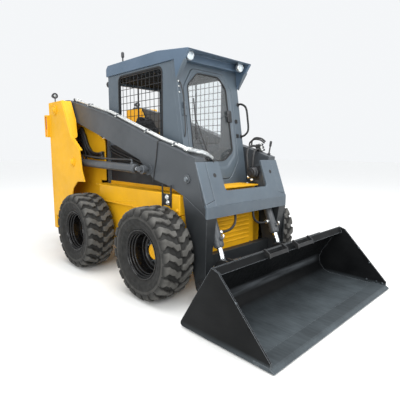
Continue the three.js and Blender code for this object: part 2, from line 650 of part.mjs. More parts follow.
function armSolid(way) {
  const [px, pz] = armPivot;
  const [cx, cz] = couplerPin;
  const outline = [
    ...armTop, [foreAxle + 346, 1215], [foreAxle + 493, 832], [foreAxle + 494, 748], [foreAxle + 450, 440],
    [cx + arm.foot, cz - arm.foot, 55], [cx - arm.foot, cz - arm.foot, 55], [foreAxle + 228, 700],
    [foreAxle + 201, 920], [foreAxle + 11, 991], [foreAxle - 223, 1040], [foreAxle - 455, 1222],
    [foreAxle - 1080, 1431], [px + 279, pz - 156], [px - 95, pz - 62, 50], [px - 95, pz + 140, 90],
  ].reverse();
  const ear = [
    [towerFace(1200) - 6, 1200], [towerFace(905) - 6, 905], [foreAxle + 300, 985],
    [foreAxle + 205, 1000, 30], [foreAxle + 180, 1070, 40], [foreAxle + 200, 1140, 40],
  ].reverse();
  const face = [
    [towerFace(1210), 1210], [towerFace(crossPlate.bend), crossPlate.bend],
    [towerFace(crossPlate.bend) - plate, crossPlate.bend], [towerFace(1210) - plate, 1210],
  ].reverse();
  const earInner = tiltY - tiltCylinder.radius - 30;
  const bores = [
    crossBar(armPivot, way * (arm.inner - 1), way * (armOuter + 1), liftCylinder.pin + 8 + pinPlay),
    crossBar(couplerPin, way * (arm.inner - 1), way * (armOuter + 1), liftCylinder.pin + pinPlay),
  ];
  return cut(join(
    sidePlate(outline, way * arm.inner, way * armOuter),
    sidePlate(face, way * (earInner - 35), way * (armOuter + 6)),
    sidePlate(ear, way * earInner, way * (earInner + plate)),
    crossBar(tiltBase, way * (earInner + overlap), way * (arm.inner + overlap), tiltCylinder.pin),
    crossBar(liftEye, way * (armOuter - overlap), way * (armOuter + 6), 55),
  ), bores);
}

function addArms() {
  for (const { side, way } of sides) add(`lift_arm_${side}`, armSolid(way), armPaint);
  const span = arm.inner - gap;
  const towerInner = tiltY - tiltCylinder.radius - 65 - gap;
  const { top, bend, bottom } = crossPlate;
  const [head, foot] = [towerFace(top), towerFace(bend)];
  add('arm_cross_plate', join(
    sidePlate([
      [head, top], [head - plate, top], [foot - plate, bend],
      [foot - plate, bottom], [foot, bottom], [foot, bend],
    ], -towerInner, towerInner),
    sidePlate(rectangle(foot - plate, foot, bottom, bend - gap), -span, span),
  ), greyPaint);
  const beam = box(crossBeam.rear, crossBeam.front, -span, span, crossBeam.bottom, crossBeam.top);
  add('arm_cross_beam', beam, armPaint);
  const stations = [armPivot[0] + 240, ...[-1400, -1023, -700, -400, -145, 55, 230].map((x) => foreAxle + x)];
  const above = (x, lift) => armTopAt(x) + lift;
  const halfClamp = armTubes.clamp / 2;
  const clamps = [-1500, -900, -440, 40].map((x) => {
    const [rear, front] = [foreAxle + x - halfClamp, foreAxle + x + halfClamp];
    return sidePlate([
      [rear, above(rear, gap)], [front, above(front, gap)],
      [front, above(front, armTubes.lift + 4)], [rear, above(rear, armTubes.lift + 4)],
    ], -arm.inner - armTubes.margin, -armOuter + armTubes.margin);
  });
  const middle = (arm.inner + armOuter) / 2;
  const runs = [-1, 1].map((way) => stations.map((x) =>
    [x, -middle + (way * armTubes.spacing) / 2, above(x, armTubes.lift)]));
  add('arm_tubes', join(runs.map((run) => tube(run, armTubes.radius, 24)), clamps), wornSteel);
  const [c0, c1] = [foreAxle + coupler.x, foreAxle + coupler.x + coupler.length];
  add('aux_coupler', sidePlate([
    [c0, armTopAt(c0) + gap], [c1, armTopAt(c1) + gap],
    [c1, armTopAt(c1) + coupler.height], [c0, armTopAt(c0) + coupler.height - 10],
  ], middle - coupler.width / 2, middle + coupler.width / 2), wornSteel);
}

// ---- hydraulic cylinders ----

// A barrel along +y from its foot pivot, open at the gland, with an eye across the foot.
function barrelSolid({ radius, rod, eye, eyeWidth, pin, gland, tail, spare }, length) {
  const bore = rod + boreClear;
  const boreEnd = length - tail - spare;
  const tubeWall = turned([
    [0, eye + 8], [radius - 6, eye + 8], [radius, eye + 22], [radius, gland],
    [bore, gland], [bore, boreEnd], [0, boreEnd],
  ], 16);
  return cut(
    join(
      tubeWall,
      bar([0, 0, -eyeWidth / 2], [0, 0, eyeWidth / 2], eye),
      bar([0, 0, 0], [0, eye + 14, 0], pin),
    ),
    bar([0, 0, -eyeWidth], [0, 0, eyeWidth], pin + pinPlay),
  );
}

// A rod along +y whose eye carries its own pin at the given length.
function rodSolid({ rod, eye, eyeWidth, pin, tail }, length, pinHalf) {
  return join(
    bar([0, length - tail, 0], [0, length - pin / 2, 0], rod, 18),
    bar([0, length, -eyeWidth / 2], [0, length, eyeWidth / 2], eye, 20),
    bar([0, length, -pinHalf], [0, length, pinHalf], pin),
  );
}

function addCylinders(name, size, foot, eye, y, pinHalf) {
  const run = vector2(eye).sub(vector2(foot));
  for (const { side, way } of sides) {
    const cylinder = new THREE.Group();
    cylinder.position.set(foot[0], way * y, foot[1]);
    const across = new THREE.Vector3(0, way, 0);
    const along = new THREE.Vector3(run.x, 0, run.y).normalize();
    cylinder.quaternion.setFromRotationMatrix(new THREE.Matrix4().makeBasis(
      along.clone().cross(across), along, across));
    add(`${name}_barrel_${side}`, barrelSolid(size, run.length()), armPaint, cylinder);
    add(`${name}_rod_${side}`, rodSolid(size, run.length(), pinHalf), chrome, cylinder);
    machine.add(cylinder);
  }
}

// ---- bucket ----

const heel = [couplerPin[0] + 148, bucket.ground];
const backRun = new THREE.Vector2(338, 525).normalize(); // the straight back leans forward
const backAt = (s, behind = 0) => [
  heel[0] + backRun.x * s - backRun.y * behind,
  heel[1] + backRun.y * s + backRun.x * behind,
];
const floorFront = heel[0] + 747;

// Ears on both sides of each arm foot and each tilt rod, on a plate that backs the bucket.
function couplerSolid() {
  const [px, pz] = couplerPin;
  const [ex, ez] = tiltEye;
  const ear = [
    backAt(80, 20), backAt(440, 20), [ex + 12, ez + 52, 40], [ex - 42, ez + 26, 30],
    [px - 54, pz + 14, 40], [px - 36, pz - 58, 40],
  ];
  const outerEar = [
    backAt(80, 20), backAt(300, 20), [px + 20, pz + 58, 40], [px - 54, pz + 20, 40], [px - 36, pz - 58, 40],
  ];
  const spread = tiltCylinder.eyeWidth / 2 + clear;
  const outside = armOuter + clear;
  const pieces = [
    sidePlate([backAt(80, gap), backAt(600, gap), backAt(600, 24), backAt(80, 24)],
      -outside - cheekPlates, outside + cheekPlates),
  ];
  for (const { way } of sides) {
    pieces.push(
      sidePlate(ear, way * (arm.inner - clear - cheekPlates), way * (arm.inner - clear)),
      sidePlate(ear, way * (tiltY - spread - cheekPlates), way * (tiltY - spread)),
      sidePlate(outerEar, way * outside, way * (outside + cheekPlates)),
      crossBar(couplerPin, way * (arm.inner - clear - overlap), way * (outside + cheekPlates + 10),
        liftCylinder.pin),
    );
  }
  return join(pieces);
}

function bucketShell() {
  const { half, wall, cheek, heelRadius, ground, back } = bucket;
  const lipFoot = backAt(back);
  const slopeWall = wall / Math.sin(backRun.angle());
  const section = [
    [floorFront, ground], [heel[0], ground, heelRadius], lipFoot,
    [lipFoot[0] + 8, lipFoot[1] - 3], [lipFoot[0] + 34, lipFoot[1] - 56], [lipFoot[0] + 22, lipFoot[1] - 62],
    [lipFoot[0] + 2, lipFoot[1] - 22],
    [heel[0] + slopeWall + wall / Math.tan(backRun.angle()), ground + wall, heelRadius - wall],
    [floorFront, ground + wall],
  ].reverse();
  const edgeTop = ground + wall + gap + wall;
  const edgeBack = floorFront - edge.overlap - gap;
  const cheekOutline = [
    [heel[0] + 4, ground + 2, 25], lipFoot, [lipFoot[0] + 62, lipFoot[1] - 19], [heel[0] + 831, 65],
    [heel[0] + 831, edgeTop], [edgeBack, edgeTop], [edgeBack, ground + 2],
  ].reverse();
  return join(
    sidePlate(section, -half, half),
    sides.map(({ way }) => sidePlate(cheekOutline, way * (half - cheek), way * half)),
  );
}

function cuttingEdge() {
  const under = bucket.ground + bucket.wall + gap;
  const top = under + bucket.wall - gap;
  const start = floorFront + gap;
  return sidePlate([
    [floorFront - edge.overlap, under], [start, under], [start, edge.lift],
    [start + edge.reach, edge.lift], [start + edge.reach, edge.lift + 4],
    [start + edge.reach - edge.bevel, top], [floorFront - edge.overlap, top],
  ], -bucket.half, bucket.half);
}

// ---- the whole machine ----

addWheels();
add('main_frame', mainFrame(), yellowPaint);
for (const { side, way } of sides) {
  addFender(side, way);
  add(`upright_${side}`, uprightSolid(way), yellowPaint);
}
add('frame_hose', frameHose(-1), hoseRubber);
addRear();
addCab();
addArms();
addCylinders('lift', liftCylinder, liftBase, liftEye, liftY, liftY - armOuter - clear);
addCylinders('tilt', tiltCylinder, tiltBase, tiltEye, tiltY, tiltCylinder.eyeWidth / 2 + clear - 2);
add('bucket_coupler', couplerSolid(), blackPaint);
add('bucket_shell', bucketShell(), blackPaint);
add('cutting_edge', cuttingEdge(), wornSteel);

const rearmost = upright.rear - tailLight.depth;
const foremost = floorFront + gap + edge.reach;
machine.position.x = -(rearmost + foremost) / 2;

const skidSteerLoader = new THREE.Group();
skidSteerLoader.add(machine);

export default skidSteerLoader;
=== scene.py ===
import json
import math
import bmesh
import bpy
import numpy as np
from mathutils import Matrix, Vector
from mathutils.bvhtree import BVHTree


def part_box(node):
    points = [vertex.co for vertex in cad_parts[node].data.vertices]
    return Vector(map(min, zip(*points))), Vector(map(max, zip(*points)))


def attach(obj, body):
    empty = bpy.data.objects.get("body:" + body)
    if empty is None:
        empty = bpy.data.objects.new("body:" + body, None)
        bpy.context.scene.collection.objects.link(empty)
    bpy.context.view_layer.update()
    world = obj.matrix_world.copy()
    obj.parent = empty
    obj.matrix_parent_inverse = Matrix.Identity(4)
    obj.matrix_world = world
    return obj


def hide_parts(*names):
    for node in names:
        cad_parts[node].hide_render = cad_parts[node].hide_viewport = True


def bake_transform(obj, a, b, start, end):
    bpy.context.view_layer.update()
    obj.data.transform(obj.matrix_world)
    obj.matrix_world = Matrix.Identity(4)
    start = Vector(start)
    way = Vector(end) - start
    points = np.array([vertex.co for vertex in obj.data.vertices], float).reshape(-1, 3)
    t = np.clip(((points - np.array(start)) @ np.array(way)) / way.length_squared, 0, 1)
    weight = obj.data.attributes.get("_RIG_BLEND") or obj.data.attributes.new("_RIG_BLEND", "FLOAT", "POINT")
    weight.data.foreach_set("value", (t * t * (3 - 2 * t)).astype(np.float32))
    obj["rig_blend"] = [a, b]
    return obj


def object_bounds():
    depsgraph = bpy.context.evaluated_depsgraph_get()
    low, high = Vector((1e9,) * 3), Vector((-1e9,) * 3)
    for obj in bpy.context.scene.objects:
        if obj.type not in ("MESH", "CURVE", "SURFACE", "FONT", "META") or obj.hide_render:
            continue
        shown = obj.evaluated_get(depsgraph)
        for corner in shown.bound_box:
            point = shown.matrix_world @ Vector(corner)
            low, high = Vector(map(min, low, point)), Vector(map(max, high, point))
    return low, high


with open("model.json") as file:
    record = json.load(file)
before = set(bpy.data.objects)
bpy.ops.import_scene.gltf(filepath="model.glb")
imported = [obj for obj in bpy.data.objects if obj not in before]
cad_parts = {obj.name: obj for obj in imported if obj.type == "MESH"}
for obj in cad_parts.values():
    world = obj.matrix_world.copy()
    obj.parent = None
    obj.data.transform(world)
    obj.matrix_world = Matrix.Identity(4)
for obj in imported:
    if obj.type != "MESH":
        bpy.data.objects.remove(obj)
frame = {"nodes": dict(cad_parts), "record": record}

cadBounds = [list(corner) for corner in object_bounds()]
scene = bpy.context.scene
scene.view_settings.view_transform = "Standard"
sides = (("left", 1), ("right", -1))
print("frame loaded")


def cadBox(node):
    return np.array([list(corner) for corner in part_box(node)])


# Every x below is counted from midway between the axles, and makePiece adds this shift.
middle = (cadBox("rim_front_left")[:, 0].mean() + cadBox("rim_rear_left")[:, 0].mean()) / 2

# The camera stands right of and ahead of the machine, a little above the fenders.
cameraAt = {"place": (2.95, -2.638, 1.324), "yaw": 44.38, "pitch": 8.06, "roll": 0.27, "lens": 32.25}


def makeCamera():
    yaw, pitch, roll = (math.radians(cameraAt[k]) for k in ("yaw", "pitch", "roll"))
    look = Vector((-math.cos(yaw) * math.cos(pitch), math.sin(yaw) * math.cos(pitch), -math.sin(pitch)))
    right = look.cross(Vector((0, 0, 1))).normalized()
    up = right.cross(look)
    across = math.cos(roll) * right + math.sin(roll) * up
    upward = across.cross(look)
    data = bpy.data.cameras.new("camera")
    data.lens = cameraAt["lens"]
    data.sensor_width = 36
    camera = bpy.data.objects.new("camera", data)
    camera.matrix_world = Matrix.Translation(cameraAt["place"]) @ Matrix((across, upward, -look)).transposed().to_4x4()
    scene.collection.objects.link(camera)
    scene.camera = camera


makeCamera()
print("camera placed")


# Every shape is (points, faces). This one is a grid of points, with a quad between each four neighbours.
def gridShape(points, closedRows=False, closedColumns=False, caps=False):
    rows, columns = points.shape[:2]
    i, j = np.meshgrid(np.arange(rows - (not closedRows)), np.arange(columns - (not closedColumns)), indexing="ij")
    k, m = (i + 1) % rows, (j + 1) % columns
    quads = np.stack([i * columns + j, i * columns + m, k * columns + m, k * columns + j], -1).reshape(-1, 4)
    faces = quads.tolist()
    if caps:
        faces += [list(range(columns)), list(range((rows - 1) * columns, rows * columns))]
    return points.reshape(-1, 3), faces


# Several shapes as one: points stacked, and each shape's faces counted on from the last.
def joined(*shapes):
    counts = np.cumsum([0] + [len(points) for points, faces in shapes])
    points = np.vstack([points for points, faces in shapes])
    return points, [[v + n for v in face] for (_, faces), n in zip(shapes, counts.tolist()) for face in faces]


# The same shape at each offset.
def repeated(shape, offsets):
    points, faces = shape
    offsets = np.asarray(offsets, float)
    many = (points[None] + offsets[:, None]).reshape(-1, 3)
    return many, [[v + n * len(points) for v in face] for n in range(len(offsets)) for face in faces]


def mirrored(shape):
    return shape[0] * (1, -1, 1), shape[1]


# The shape and its mirror image across the machine.
def bothSides(shape):
    return joined(shape, mirrored(shape))


# Two unit vectors square to an axis and to each other.
def squareTo(axis):
    axis = np.asarray(axis, float) / np.linalg.norm(axis)
    first = np.cross(axis, (0, 0, 1) if abs(axis[2]) < 0.9 else (1, 0, 0))
    first /= np.linalg.norm(first)
    return axis, first, np.cross(axis, first)


# A profile of (radius, height) turned about an axis: foot + height * axis + radius * (cos, sin).
def turned(profile, foot, axis, count=32):
    axis, first, second = squareTo(axis)
    profile = np.asarray(profile, float)
    angle = np.arange(count) / count * 2 * math.pi
    around = np.cos(angle)[:, None] * first + np.sin(angle)[:, None] * second
    points = np.asarray(foot) + profile[None, :, 1, None] * axis + profile[None, :, 0, None] * around[:, None]
    return gridShape(points, closedRows=True)


# A closed outline of (radius, height) turned about an axis, so that it makes a closed ring.
def turnedLoop(profile, foot, axis, count=64):
    points = turned(profile, foot, axis, count)[0]
    return gridShape(points.reshape(count, -1, 3), closedRows=True, closedColumns=True)


# A smooth line of `count` points through the given ones (Catmull-Rom cubic between neighbours).
def smoothPath(points, count=40):
    p = np.asarray(points, float)
    t = np.linspace(0, len(p) - 1, count)
    k = np.minimum(t.astype(int), len(p) - 2)
    f = (t - k)[:, None]
    e = np.vstack([2 * p[0] - p[1], p, 2 * p[-1] - p[-2]])
    a, b, c, d = e[k], e[k + 1], e[k + 2], e[k + 3]
    return 0.5 * (2 * b + (c - a) * f + (2 * a - 5 * b + 4 * c - d) * f**2 + (3 * b - a - 3 * c + d) * f**3)


# A section of (across, up) points carried along a path, square to it: path + a * across + u * up.
def carried(path, section, closed=False):
    path = np.asarray(path, float)
    ahead = np.roll(path, -1, 0) - np.roll(path, 1, 0) if closed else np.gradient(path, axis=0)
    ahead /= np.linalg.norm(ahead, axis=1)[:, None]
    flat = np.linalg.svd(ahead, full_matrices=True)[2][-1]  # the direction that the path turns least towards
    across = np.cross(ahead, flat)
    across /= np.linalg.norm(across, axis=1)[:, None]
    up = np.cross(ahead, across)
    section = np.asarray(section, float)
    points = path[:, None] + (section[:, 0, None] * across[:, None] + section[:, 1, None] * up[:, None])
    return gridShape(points, closedRows=closed, closedColumns=True, caps=not closed)


# Points round a circle: radius * (cos, sin).
def circle(radius, count=12):
    angle = np.arange(count) / count * 2 * math.pi
    return radius * np.stack([np.cos(angle), np.sin(angle)], 1)


# A round tube: a circle carried along the smooth line through the points.
def hose(points, radius, count=40, around=12):
    return carried(smoothPath(points, count), circle(radius, around))


# A straight round bar with a small chamfer at each end.
def roundBar(start, end, radius, count=16, chamfer=0.15):
    start, end = np.asarray(start, float), np.asarray(end, float)
    run = np.linalg.norm(end - start)
    edge = radius * chamfer
    profile = [(0, 0), (radius - edge, 0), (radius, edge), (radius, run - edge), (radius - edge, run), (0, run)]
    return turned(profile, start, end - start, count)


# The planes that flat outlines are drawn in: (across, up, through) and a foot.
lean = math.atan(0.155)  # how far the cab's front leans back
planes = {
    "side": ((1, 0, 0), (0, 0, 1), (0, 1, 0), (0, 0, 0)),
    "front": ((0, 1, 0), (0, 0, 1), (1, 0, 0), (0, 0, 0)),
    "top": ((1, 0, 0), (0, 1, 0), (0, 0, 1), (0, 0, 0)),
    "slope": ((0, 1, 0), (-math.sin(lean), 0, math.cos(lean)), (math.cos(lean), 0, math.sin(lean)), (0.728, 0, 0.957)),
}


# Points of (across, up, through) in a plane, as machine points.
def onPlane(points, plane):
    across, up, through, foot = (np.array(v, float) for v in planes[plane])
    points = np.asarray(points, float)
    return foot + points[..., 0, None] * across + points[..., 1, None] * up + points[..., 2, None] * through


# A flat outline's points, each with the same depth through the plane.
def atDepth(outline, depth):
    outline = np.asarray(outline, float)
    return np.concatenate([outline, np.full((len(outline), 1), depth)], 1)


# A flat outline carried straight through a thickness, with its edges eased.
def plate(outline, low, high, plane="side", ease=0.0):
    outline = np.asarray(outline, float)
    rows = [(low, ease), (low + ease, 0), (high - ease, 0), (high, ease)] if ease else [(low, 0), (high, 0)]
    rows = [atDepth(shrunk(outline, inset), depth) for depth, inset in rows]
    return gridShape(onPlane(np.stack(rows), plane), closedColumns=True, caps=True)


# An outline moved inwards by a distance, along the mean of its two edges' normals at each corner.
def shrunk(outline, distance):
    if not distance:
        return outline
    ahead = np.roll(outline, -1, 0) - outline
    ahead /= np.maximum(np.linalg.norm(ahead, axis=1)[:, None], 1e-9)
    normal = np.stack([-ahead[:, 1], ahead[:, 0]], 1)
    area = np.sum(outline[:, 0] * np.roll(outline[:, 1], -1) - np.roll(outline[:, 0], -1) * outline[:, 1])
    both = normal + np.roll(normal, 1, 0)
    both /= np.maximum(np.sum(both**2, 1, keepdims=True) / 2, 0.3)
    return outline + np.sign(area) * distance * both


# A wall between two outlines with the same number of points, as a square section carried round them.
def ring(outer, inner, low, high, plane="side", ease=0.0):
    outer, inner = np.asarray(outer, float), np.asarray(inner, float)
    if ease:
        rows = [(outer, low), (outer, high - ease), (shrunk(outer, ease), high), (shrunk(inner, -ease), high),
                (inner, high - ease), (inner, low)]
    else:
        rows = [(outer, low), (outer, high), (inner, high), (inner, low)]
    points = onPlane(np.stack([atDepth(line, depth) for line, depth in rows]), plane)
    return gridShape(points, closedRows=True, closedColumns=True)


# A rectangle with rounded corners: one radius, or one for each corner from low-left round to high-left.
def roundRect(a0, a1, b0, b1, radius=0.01, steps=5):
    radius = np.maximum(np.broadcast_to(radius, 4).astype(float), 1e-4)[:, None]
    angle = math.pi + np.arange(4)[:, None] * math.pi / 2 + np.linspace(0, math.pi / 2, steps + 1)[None]
    cornerA, cornerB = np.array([a0, a1, a1, a0])[:, None], np.array([b0, b0, b1, b1])[:, None]
    wayA, wayB = np.array([1, -1, -1, 1])[:, None], np.array([1, 1, -1, -1])[:, None]
    a = cornerA + wayA * radius + radius * np.cos(angle)
    b = cornerB + wayB * radius + radius * np.sin(angle)
    return np.stack([a.ravel(), b.ravel()], 1)


# An outline whose corners are rounded by a quadratic curve between points a radius before and after each.
def roundedOutline(corners, radius, steps=5):
    c = np.asarray(corners, float)
    before, after = np.roll(c, 1, 0) - c, np.roll(c, -1, 0) - c
    a, b = np.linalg.norm(before, axis=1)[:, None], np.linalg.norm(after, axis=1)[:, None]
    start, end = c + before * np.minimum(radius / a, 0.4), c + after * np.minimum(radius / b, 0.4)
    t = np.linspace(0, 1, steps + 1)[None, :, None]
    return ((1 - t) ** 2 * start[:, None] + 2 * t * (1 - t) * c[:, None] + t**2 * end[:, None]).reshape(-1, 2)


# A box between two values of x, y and z: its side outline carried across, with eased edges.
def block(x, y, z, ease=0.003):
    return plate([(x[0], z[0]), (x[1], z[0]), (x[1], z[1]), (x[0], z[1])], y[0], y[1], "side", ease)


# A washer and a hexagon head with a domed top, standing out along a direction.
def bolt(foot, direction, size=0.019):
    half = size / 2 / math.cos(math.pi / 6)
    washer = [(0, 0), (size * 0.95, 0), (size * 0.95, size * 0.14), (0, size * 0.14)]
    head = [(0, size * 0.1), (half, size * 0.1), (half, size * 0.6), (half * 0.86, size * 0.7), (0, size * 0.72)]
    return joined(turned(washer, foot, direction, 16), turned(head, foot, direction, 6))


def bolts(feet, direction, size=0.019):
    return repeated(bolt((0, 0, 0), direction, size), feet)


# A hose end: crimped sleeve, then a hexagon nut, along a direction.
def fitting(foot, direction, radius=0.009, length=0.05):
    sleeve = [(0, 0), (radius * 1.25, 0), (radius * 1.35, length * 0.1), (radius * 1.25, length * 0.2),
              (radius * 1.35, length * 0.3), (radius * 1.25, length * 0.4), (radius * 1.35, length * 0.5),
              (radius * 1.1, length * 0.58), (0, length * 0.58)]
    nut = [(0, length * 0.56), (radius * 1.55, length * 0.56), (radius * 1.7, length * 0.64),
           (radius * 1.7, length * 0.92), (radius * 1.5, length), (0, length)]
    return joined(turned(sleeve, foot, direction, 14), turned(nut, foot, direction, 6))


# The record's body of each CAD node.
bodyOf = {node: body for body, nodes in frame["record"]["behaviour"]["bodies"].items() for node in nodes}

# Merge distances in metres, for new meshes and for CAD ones, and the bevel that eases a piece's edges.
meshing = {"merge": 1e-6, "mergeCad": 2e-5, "tiny": 1e-7, "flat": 0.6, "bevelAngle": 32, "bevelSegments": 2}


# Doubles merged, slivers dissolved and faces turned outwards; edges bent by more than `smooth` degrees stay sharp.
def finishMesh(mesh, smooth):
    work = bmesh.new()
    work.from_mesh(mesh)
    bmesh.ops.remove_doubles(work, verts=work.verts, dist=meshing["merge"])
    bmesh.ops.dissolve_degenerate(work, edges=work.edges, dist=meshing["tiny"])
    bmesh.ops.recalc_face_normals(work, faces=work.faces)
    work.to_mesh(mesh)
    work.free()
    mesh.shade_smooth()
    mesh.set_sharp_from_angle(angle=math.radians(smooth))


def addBevel(piece, edge):
    bevel = piece.modifiers.new("easedEdges", "BEVEL")
    bevel.width = edge
    bevel.segments = meshing["bevelSegments"]
    bevel.limit_method = "ANGLE"
    bevel.angle_limit = math.radians(meshing["bevelAngle"])
    bevel.harden_normals = True
    bevel.use_clamp_overlap = True


# A new piece that rides on a body. Marks are values at each point that its material reads.
def makePiece(name, body, finish, shape, replaces=(), edge=0.0, smooth=35, marks=None):
    points, faces = shape
    mesh = bpy.data.meshes.new(name)
    mesh.from_pydata((points + (middle, 0, 0)).tolist(), [], faces)
    for mark, values in (marks or {}).items():
        mesh.attributes.new(mark, "FLOAT", "POINT").data.foreach_set("value", np.asarray(values, np.float32))
    finishMesh(mesh, smooth)
    material, slot = finish
    mesh.materials.append(material)
    piece = bpy.data.objects.new(name, mesh)
    scene.collection.objects.link(piece)
    if edge:
        addBevel(piece, edge)
    if body:
        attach(piece, body)
    if replaces:
        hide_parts(*replaces)
    return piece


# A CAD node's own shape, welded, with eased edges and a real finish.
def dressed(node, finish, edge=0.003, smooth=32):
    mesh = frame["nodes"][node].data.copy()
    for name in [a.name for a in mesh.attributes if a.name in ("custom_normal", "sharp_face", "sharp_edge")]:
        mesh.attributes.remove(mesh.attributes[name])
    work = bmesh.new()
    work.from_mesh(mesh)
    bmesh.ops.remove_doubles(work, verts=work.verts, dist=meshing["mergeCad"])
    bmesh.ops.dissolve_limit(work, angle_limit=math.radians(meshing["flat"]), verts=work.verts, edges=work.edges)
    work.to_mesh(mesh)
    work.free()
    mesh.shade_smooth()
    mesh.set_sharp_from_angle(angle=math.radians(smooth))
    mesh.materials.clear()
    mesh.materials.append(finish[0])
    piece = bpy.data.objects.new(node + "_finished", mesh)
    scene.collection.objects.link(piece)
    if edge:
        addBevel(piece, edge)
    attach(piece, bodyOf[node])
    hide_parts(node)
    return piece


# sRGB hex to linear: ((v + 0.055) / 1.055) ** 2.4, or v / 12.92 near black.
def toLinear(colour):
    value = np.array([int(colour[i:i + 2], 16) for i in (1, 3, 5)]) / 255
    return (*np.where(value <= 0.04045, value / 12.92, ((value + 0.055) / 1.055) ** 2.4).tolist(), 1.0)


# Adds a node. Each setting is one of its own or an input, and a value, a hex colour or a socket to link from.
def addNode(tree, kind, settings=None):
    node = tree.nodes.new(kind)
    for key, value in (settings or {}).items():
        if isinstance(value, bpy.types.NodeSocket):
            tree.links.new(value, node.inputs[key])
        elif isinstance(key, int) or key in node.inputs.keys():
            node.inputs[key].default_value = toLinear(value) if isinstance(value, str) else value
        else:
            setattr(node, key, value)
    return node


def newMaterial(name, colour, roughness, metallic=0.0, **more):
    material = bpy.data.materials.new(name)
    material.use_nodes = True
    shader = material.node_tree.nodes["Principled BSDF"]
    shader.inputs["Base Color"].default_value = toLinear(colour)
    shader.inputs["Roughness"].default_value = roughness
    shader.inputs["Metallic"].default_value = metallic
    for key, value in more.items():
        shader.inputs[key.replace("_", " ")].default_value = value
    return material, material.node_tree, shader


# Noise in object space, with its lumps of a size in millimetres, remapped to run from low to high.
def noiseRange(tree, place, size, low, high, detail=4.0, span=(0.35, 0.65)):
    noise = addNode(tree, "ShaderNodeTexNoise", {"Scale": 1000 / size, "Detail": detail, "Vector": place})
    return addNode(tree, "ShaderNodeMapRange", {"From Min": span[0], "From Max": span[1], "To Min": low,
            "To Max": high, "Value": noise.outputs["Fac"]}).outputs["Result"]


# How far the surface turns within a few millimetres, 0 on flats and 1 on sharp edges.
def edgeMask(tree, reach):
    bent = addNode(tree, "ShaderNodeBevel", {"samples": 4, "Radius": reach})
    straight = addNode(tree, "ShaderNodeNewGeometry")
    dot = addNode(tree, "ShaderNodeVectorMath", {"operation": "DOT_PRODUCT", 0: bent.outputs[0],
            1: straight.outputs["Normal"]})
    return addNode(tree, "ShaderNodeMapRange", {"From Min": 0.99, "From Max": 0.8, "To Min": 0.0, "To Max": 1.0,
            "Value": dot.outputs["Value"]}).outputs["Result"]


# Lump sizes of the enamels in millimetres, how far edges are rubbed, and the strength of the orange peel.
paintwork = {"fading": 420, "smears": 60, "rubbed": 25, "gloss": 90, "peel": 6.25, "edgeWear": 0.5,
             "peelStrength": 0.12}


# Sprayed enamel on steel: broad fading, road dust that thickens near the ground, rubbed edges and orange peel.
def enamel(name, colour, faded, edgeColour, roughness, dust, dustColour, shine=0.5, lowShade=0.0):
    material, tree, shader = newMaterial(name, colour, roughness, Specular_IOR_Level=shine)
    place = addNode(tree, "ShaderNodeTexCoord").outputs["Object"]
    fading = noiseRange(tree, place, paintwork["fading"], 0.0, 1.0, 5)
    base = addNode(tree, "ShaderNodeMix", {"data_type": "RGBA", 0: fading, 6: colour, 7: faded}).outputs[2]
    height = addNode(tree, "ShaderNodeSeparateXYZ", {"Vector": place}).outputs["Z"]
    low = addNode(tree, "ShaderNodeMapRange", {"From Min": 1.1, "From Max": 0.1, "To Min": 0.15, "To Max": 1.0,
            "Value": height}).outputs["Result"]
    speckle = noiseRange(tree, place, paintwork["smears"], 0.0, dust, 8, (0.42, 0.72))
    dusty = addNode(tree, "ShaderNodeMath", {"operation": "MULTIPLY", 0: low, 1: speckle}).outputs[0]
    base = addNode(tree, "ShaderNodeMix", {"data_type": "RGBA", 0: dusty, 6: base, 7: dustColour}).outputs[2]
    if lowShade:  # painted shade: the paint darkens below about a metre, where the tyres shade the legs
        shadedBelow = addNode(tree, "ShaderNodeMapRange", {"From Min": 0.97, "From Max": 0.76, "To Min": 0.0, "To Max": lowShade,
                "Value": height}).outputs["Result"]
        base = addNode(tree, "ShaderNodeMix", {"data_type": "RGBA", 0: shadedBelow, 6: base, 7: "#17191a"}).outputs[2]
    rub = noiseRange(tree, place, paintwork["rubbed"], 0.15, paintwork["edgeWear"], 6)
    worn = addNode(tree, "ShaderNodeMath", {"operation": "MULTIPLY", 0: rub, 1: edgeMask(tree, 0.006)}).outputs[0]
    base = addNode(tree, "ShaderNodeMix", {"data_type": "RGBA", 0: worn, 6: base, 7: edgeColour}).outputs[2]
    tree.links.new(base, shader.inputs["Base Color"])
    gloss = noiseRange(tree, place, paintwork["gloss"], roughness - 0.07, roughness + 0.1, 5)
    tree.links.new(gloss, shader.inputs["Roughness"])
    lumps = addNode(tree, "ShaderNodeTexNoise", {"Scale": 1000 / paintwork["peel"], "Detail": 2.0, "Vector": place})
    bump = addNode(tree, "ShaderNodeBump", {"Strength": paintwork["peelStrength"], "Distance": 0.001,
            "Height": lumps.outputs["Fac"]})
    tree.links.new(bump.outputs["Normal"], shader.inputs["Normal"])
    return material


# Machine-yellow enamel: warm, with little gloss left, dusty low down.
yellowEnamel = enamel("yellowEnamel", "#daa31b", "#cf9a19", "#ecc165", 0.42, dust=0.22, dustColour="#8f6e2c",
                      shine=0.16)
# Slate-blue enamel of the cab: satin, chalky where the sun has bleached it.
slateEnamel = enamel("slateEnamel", "#434d56", "#49545d", "#7f8b94", 0.4, dust=0.14, dustColour="#7d7e7a")
# The same enamel on the roof, bluer and paler: painted sky light, a lit copy of the cab's slate.
skyLitRoofEnamel = enamel("skyLitRoofEnamel", "#405263", "#48596b", "#7f91a0", 0.4, dust=0.10, dustColour="#7d7e7a")
# Charcoal enamel of the arms and cylinder barrels: darker and a little smoother.
charcoalEnamel = enamel("charcoalEnamel", "#3a3e42", "#414549", "#72777c", 0.4, dust=0.14, dustColour="#6d6b66")
# The same enamel on the arms, with painted shade that darkens the legs near the ground, where the tyres shade them.
armEnamel = enamel("armEnamel", "#3a3e42", "#414549", "#72777c", 0.42, dust=0.10, dustColour="#6d6b66", shine=0.4,
                   lowShade=0.8)
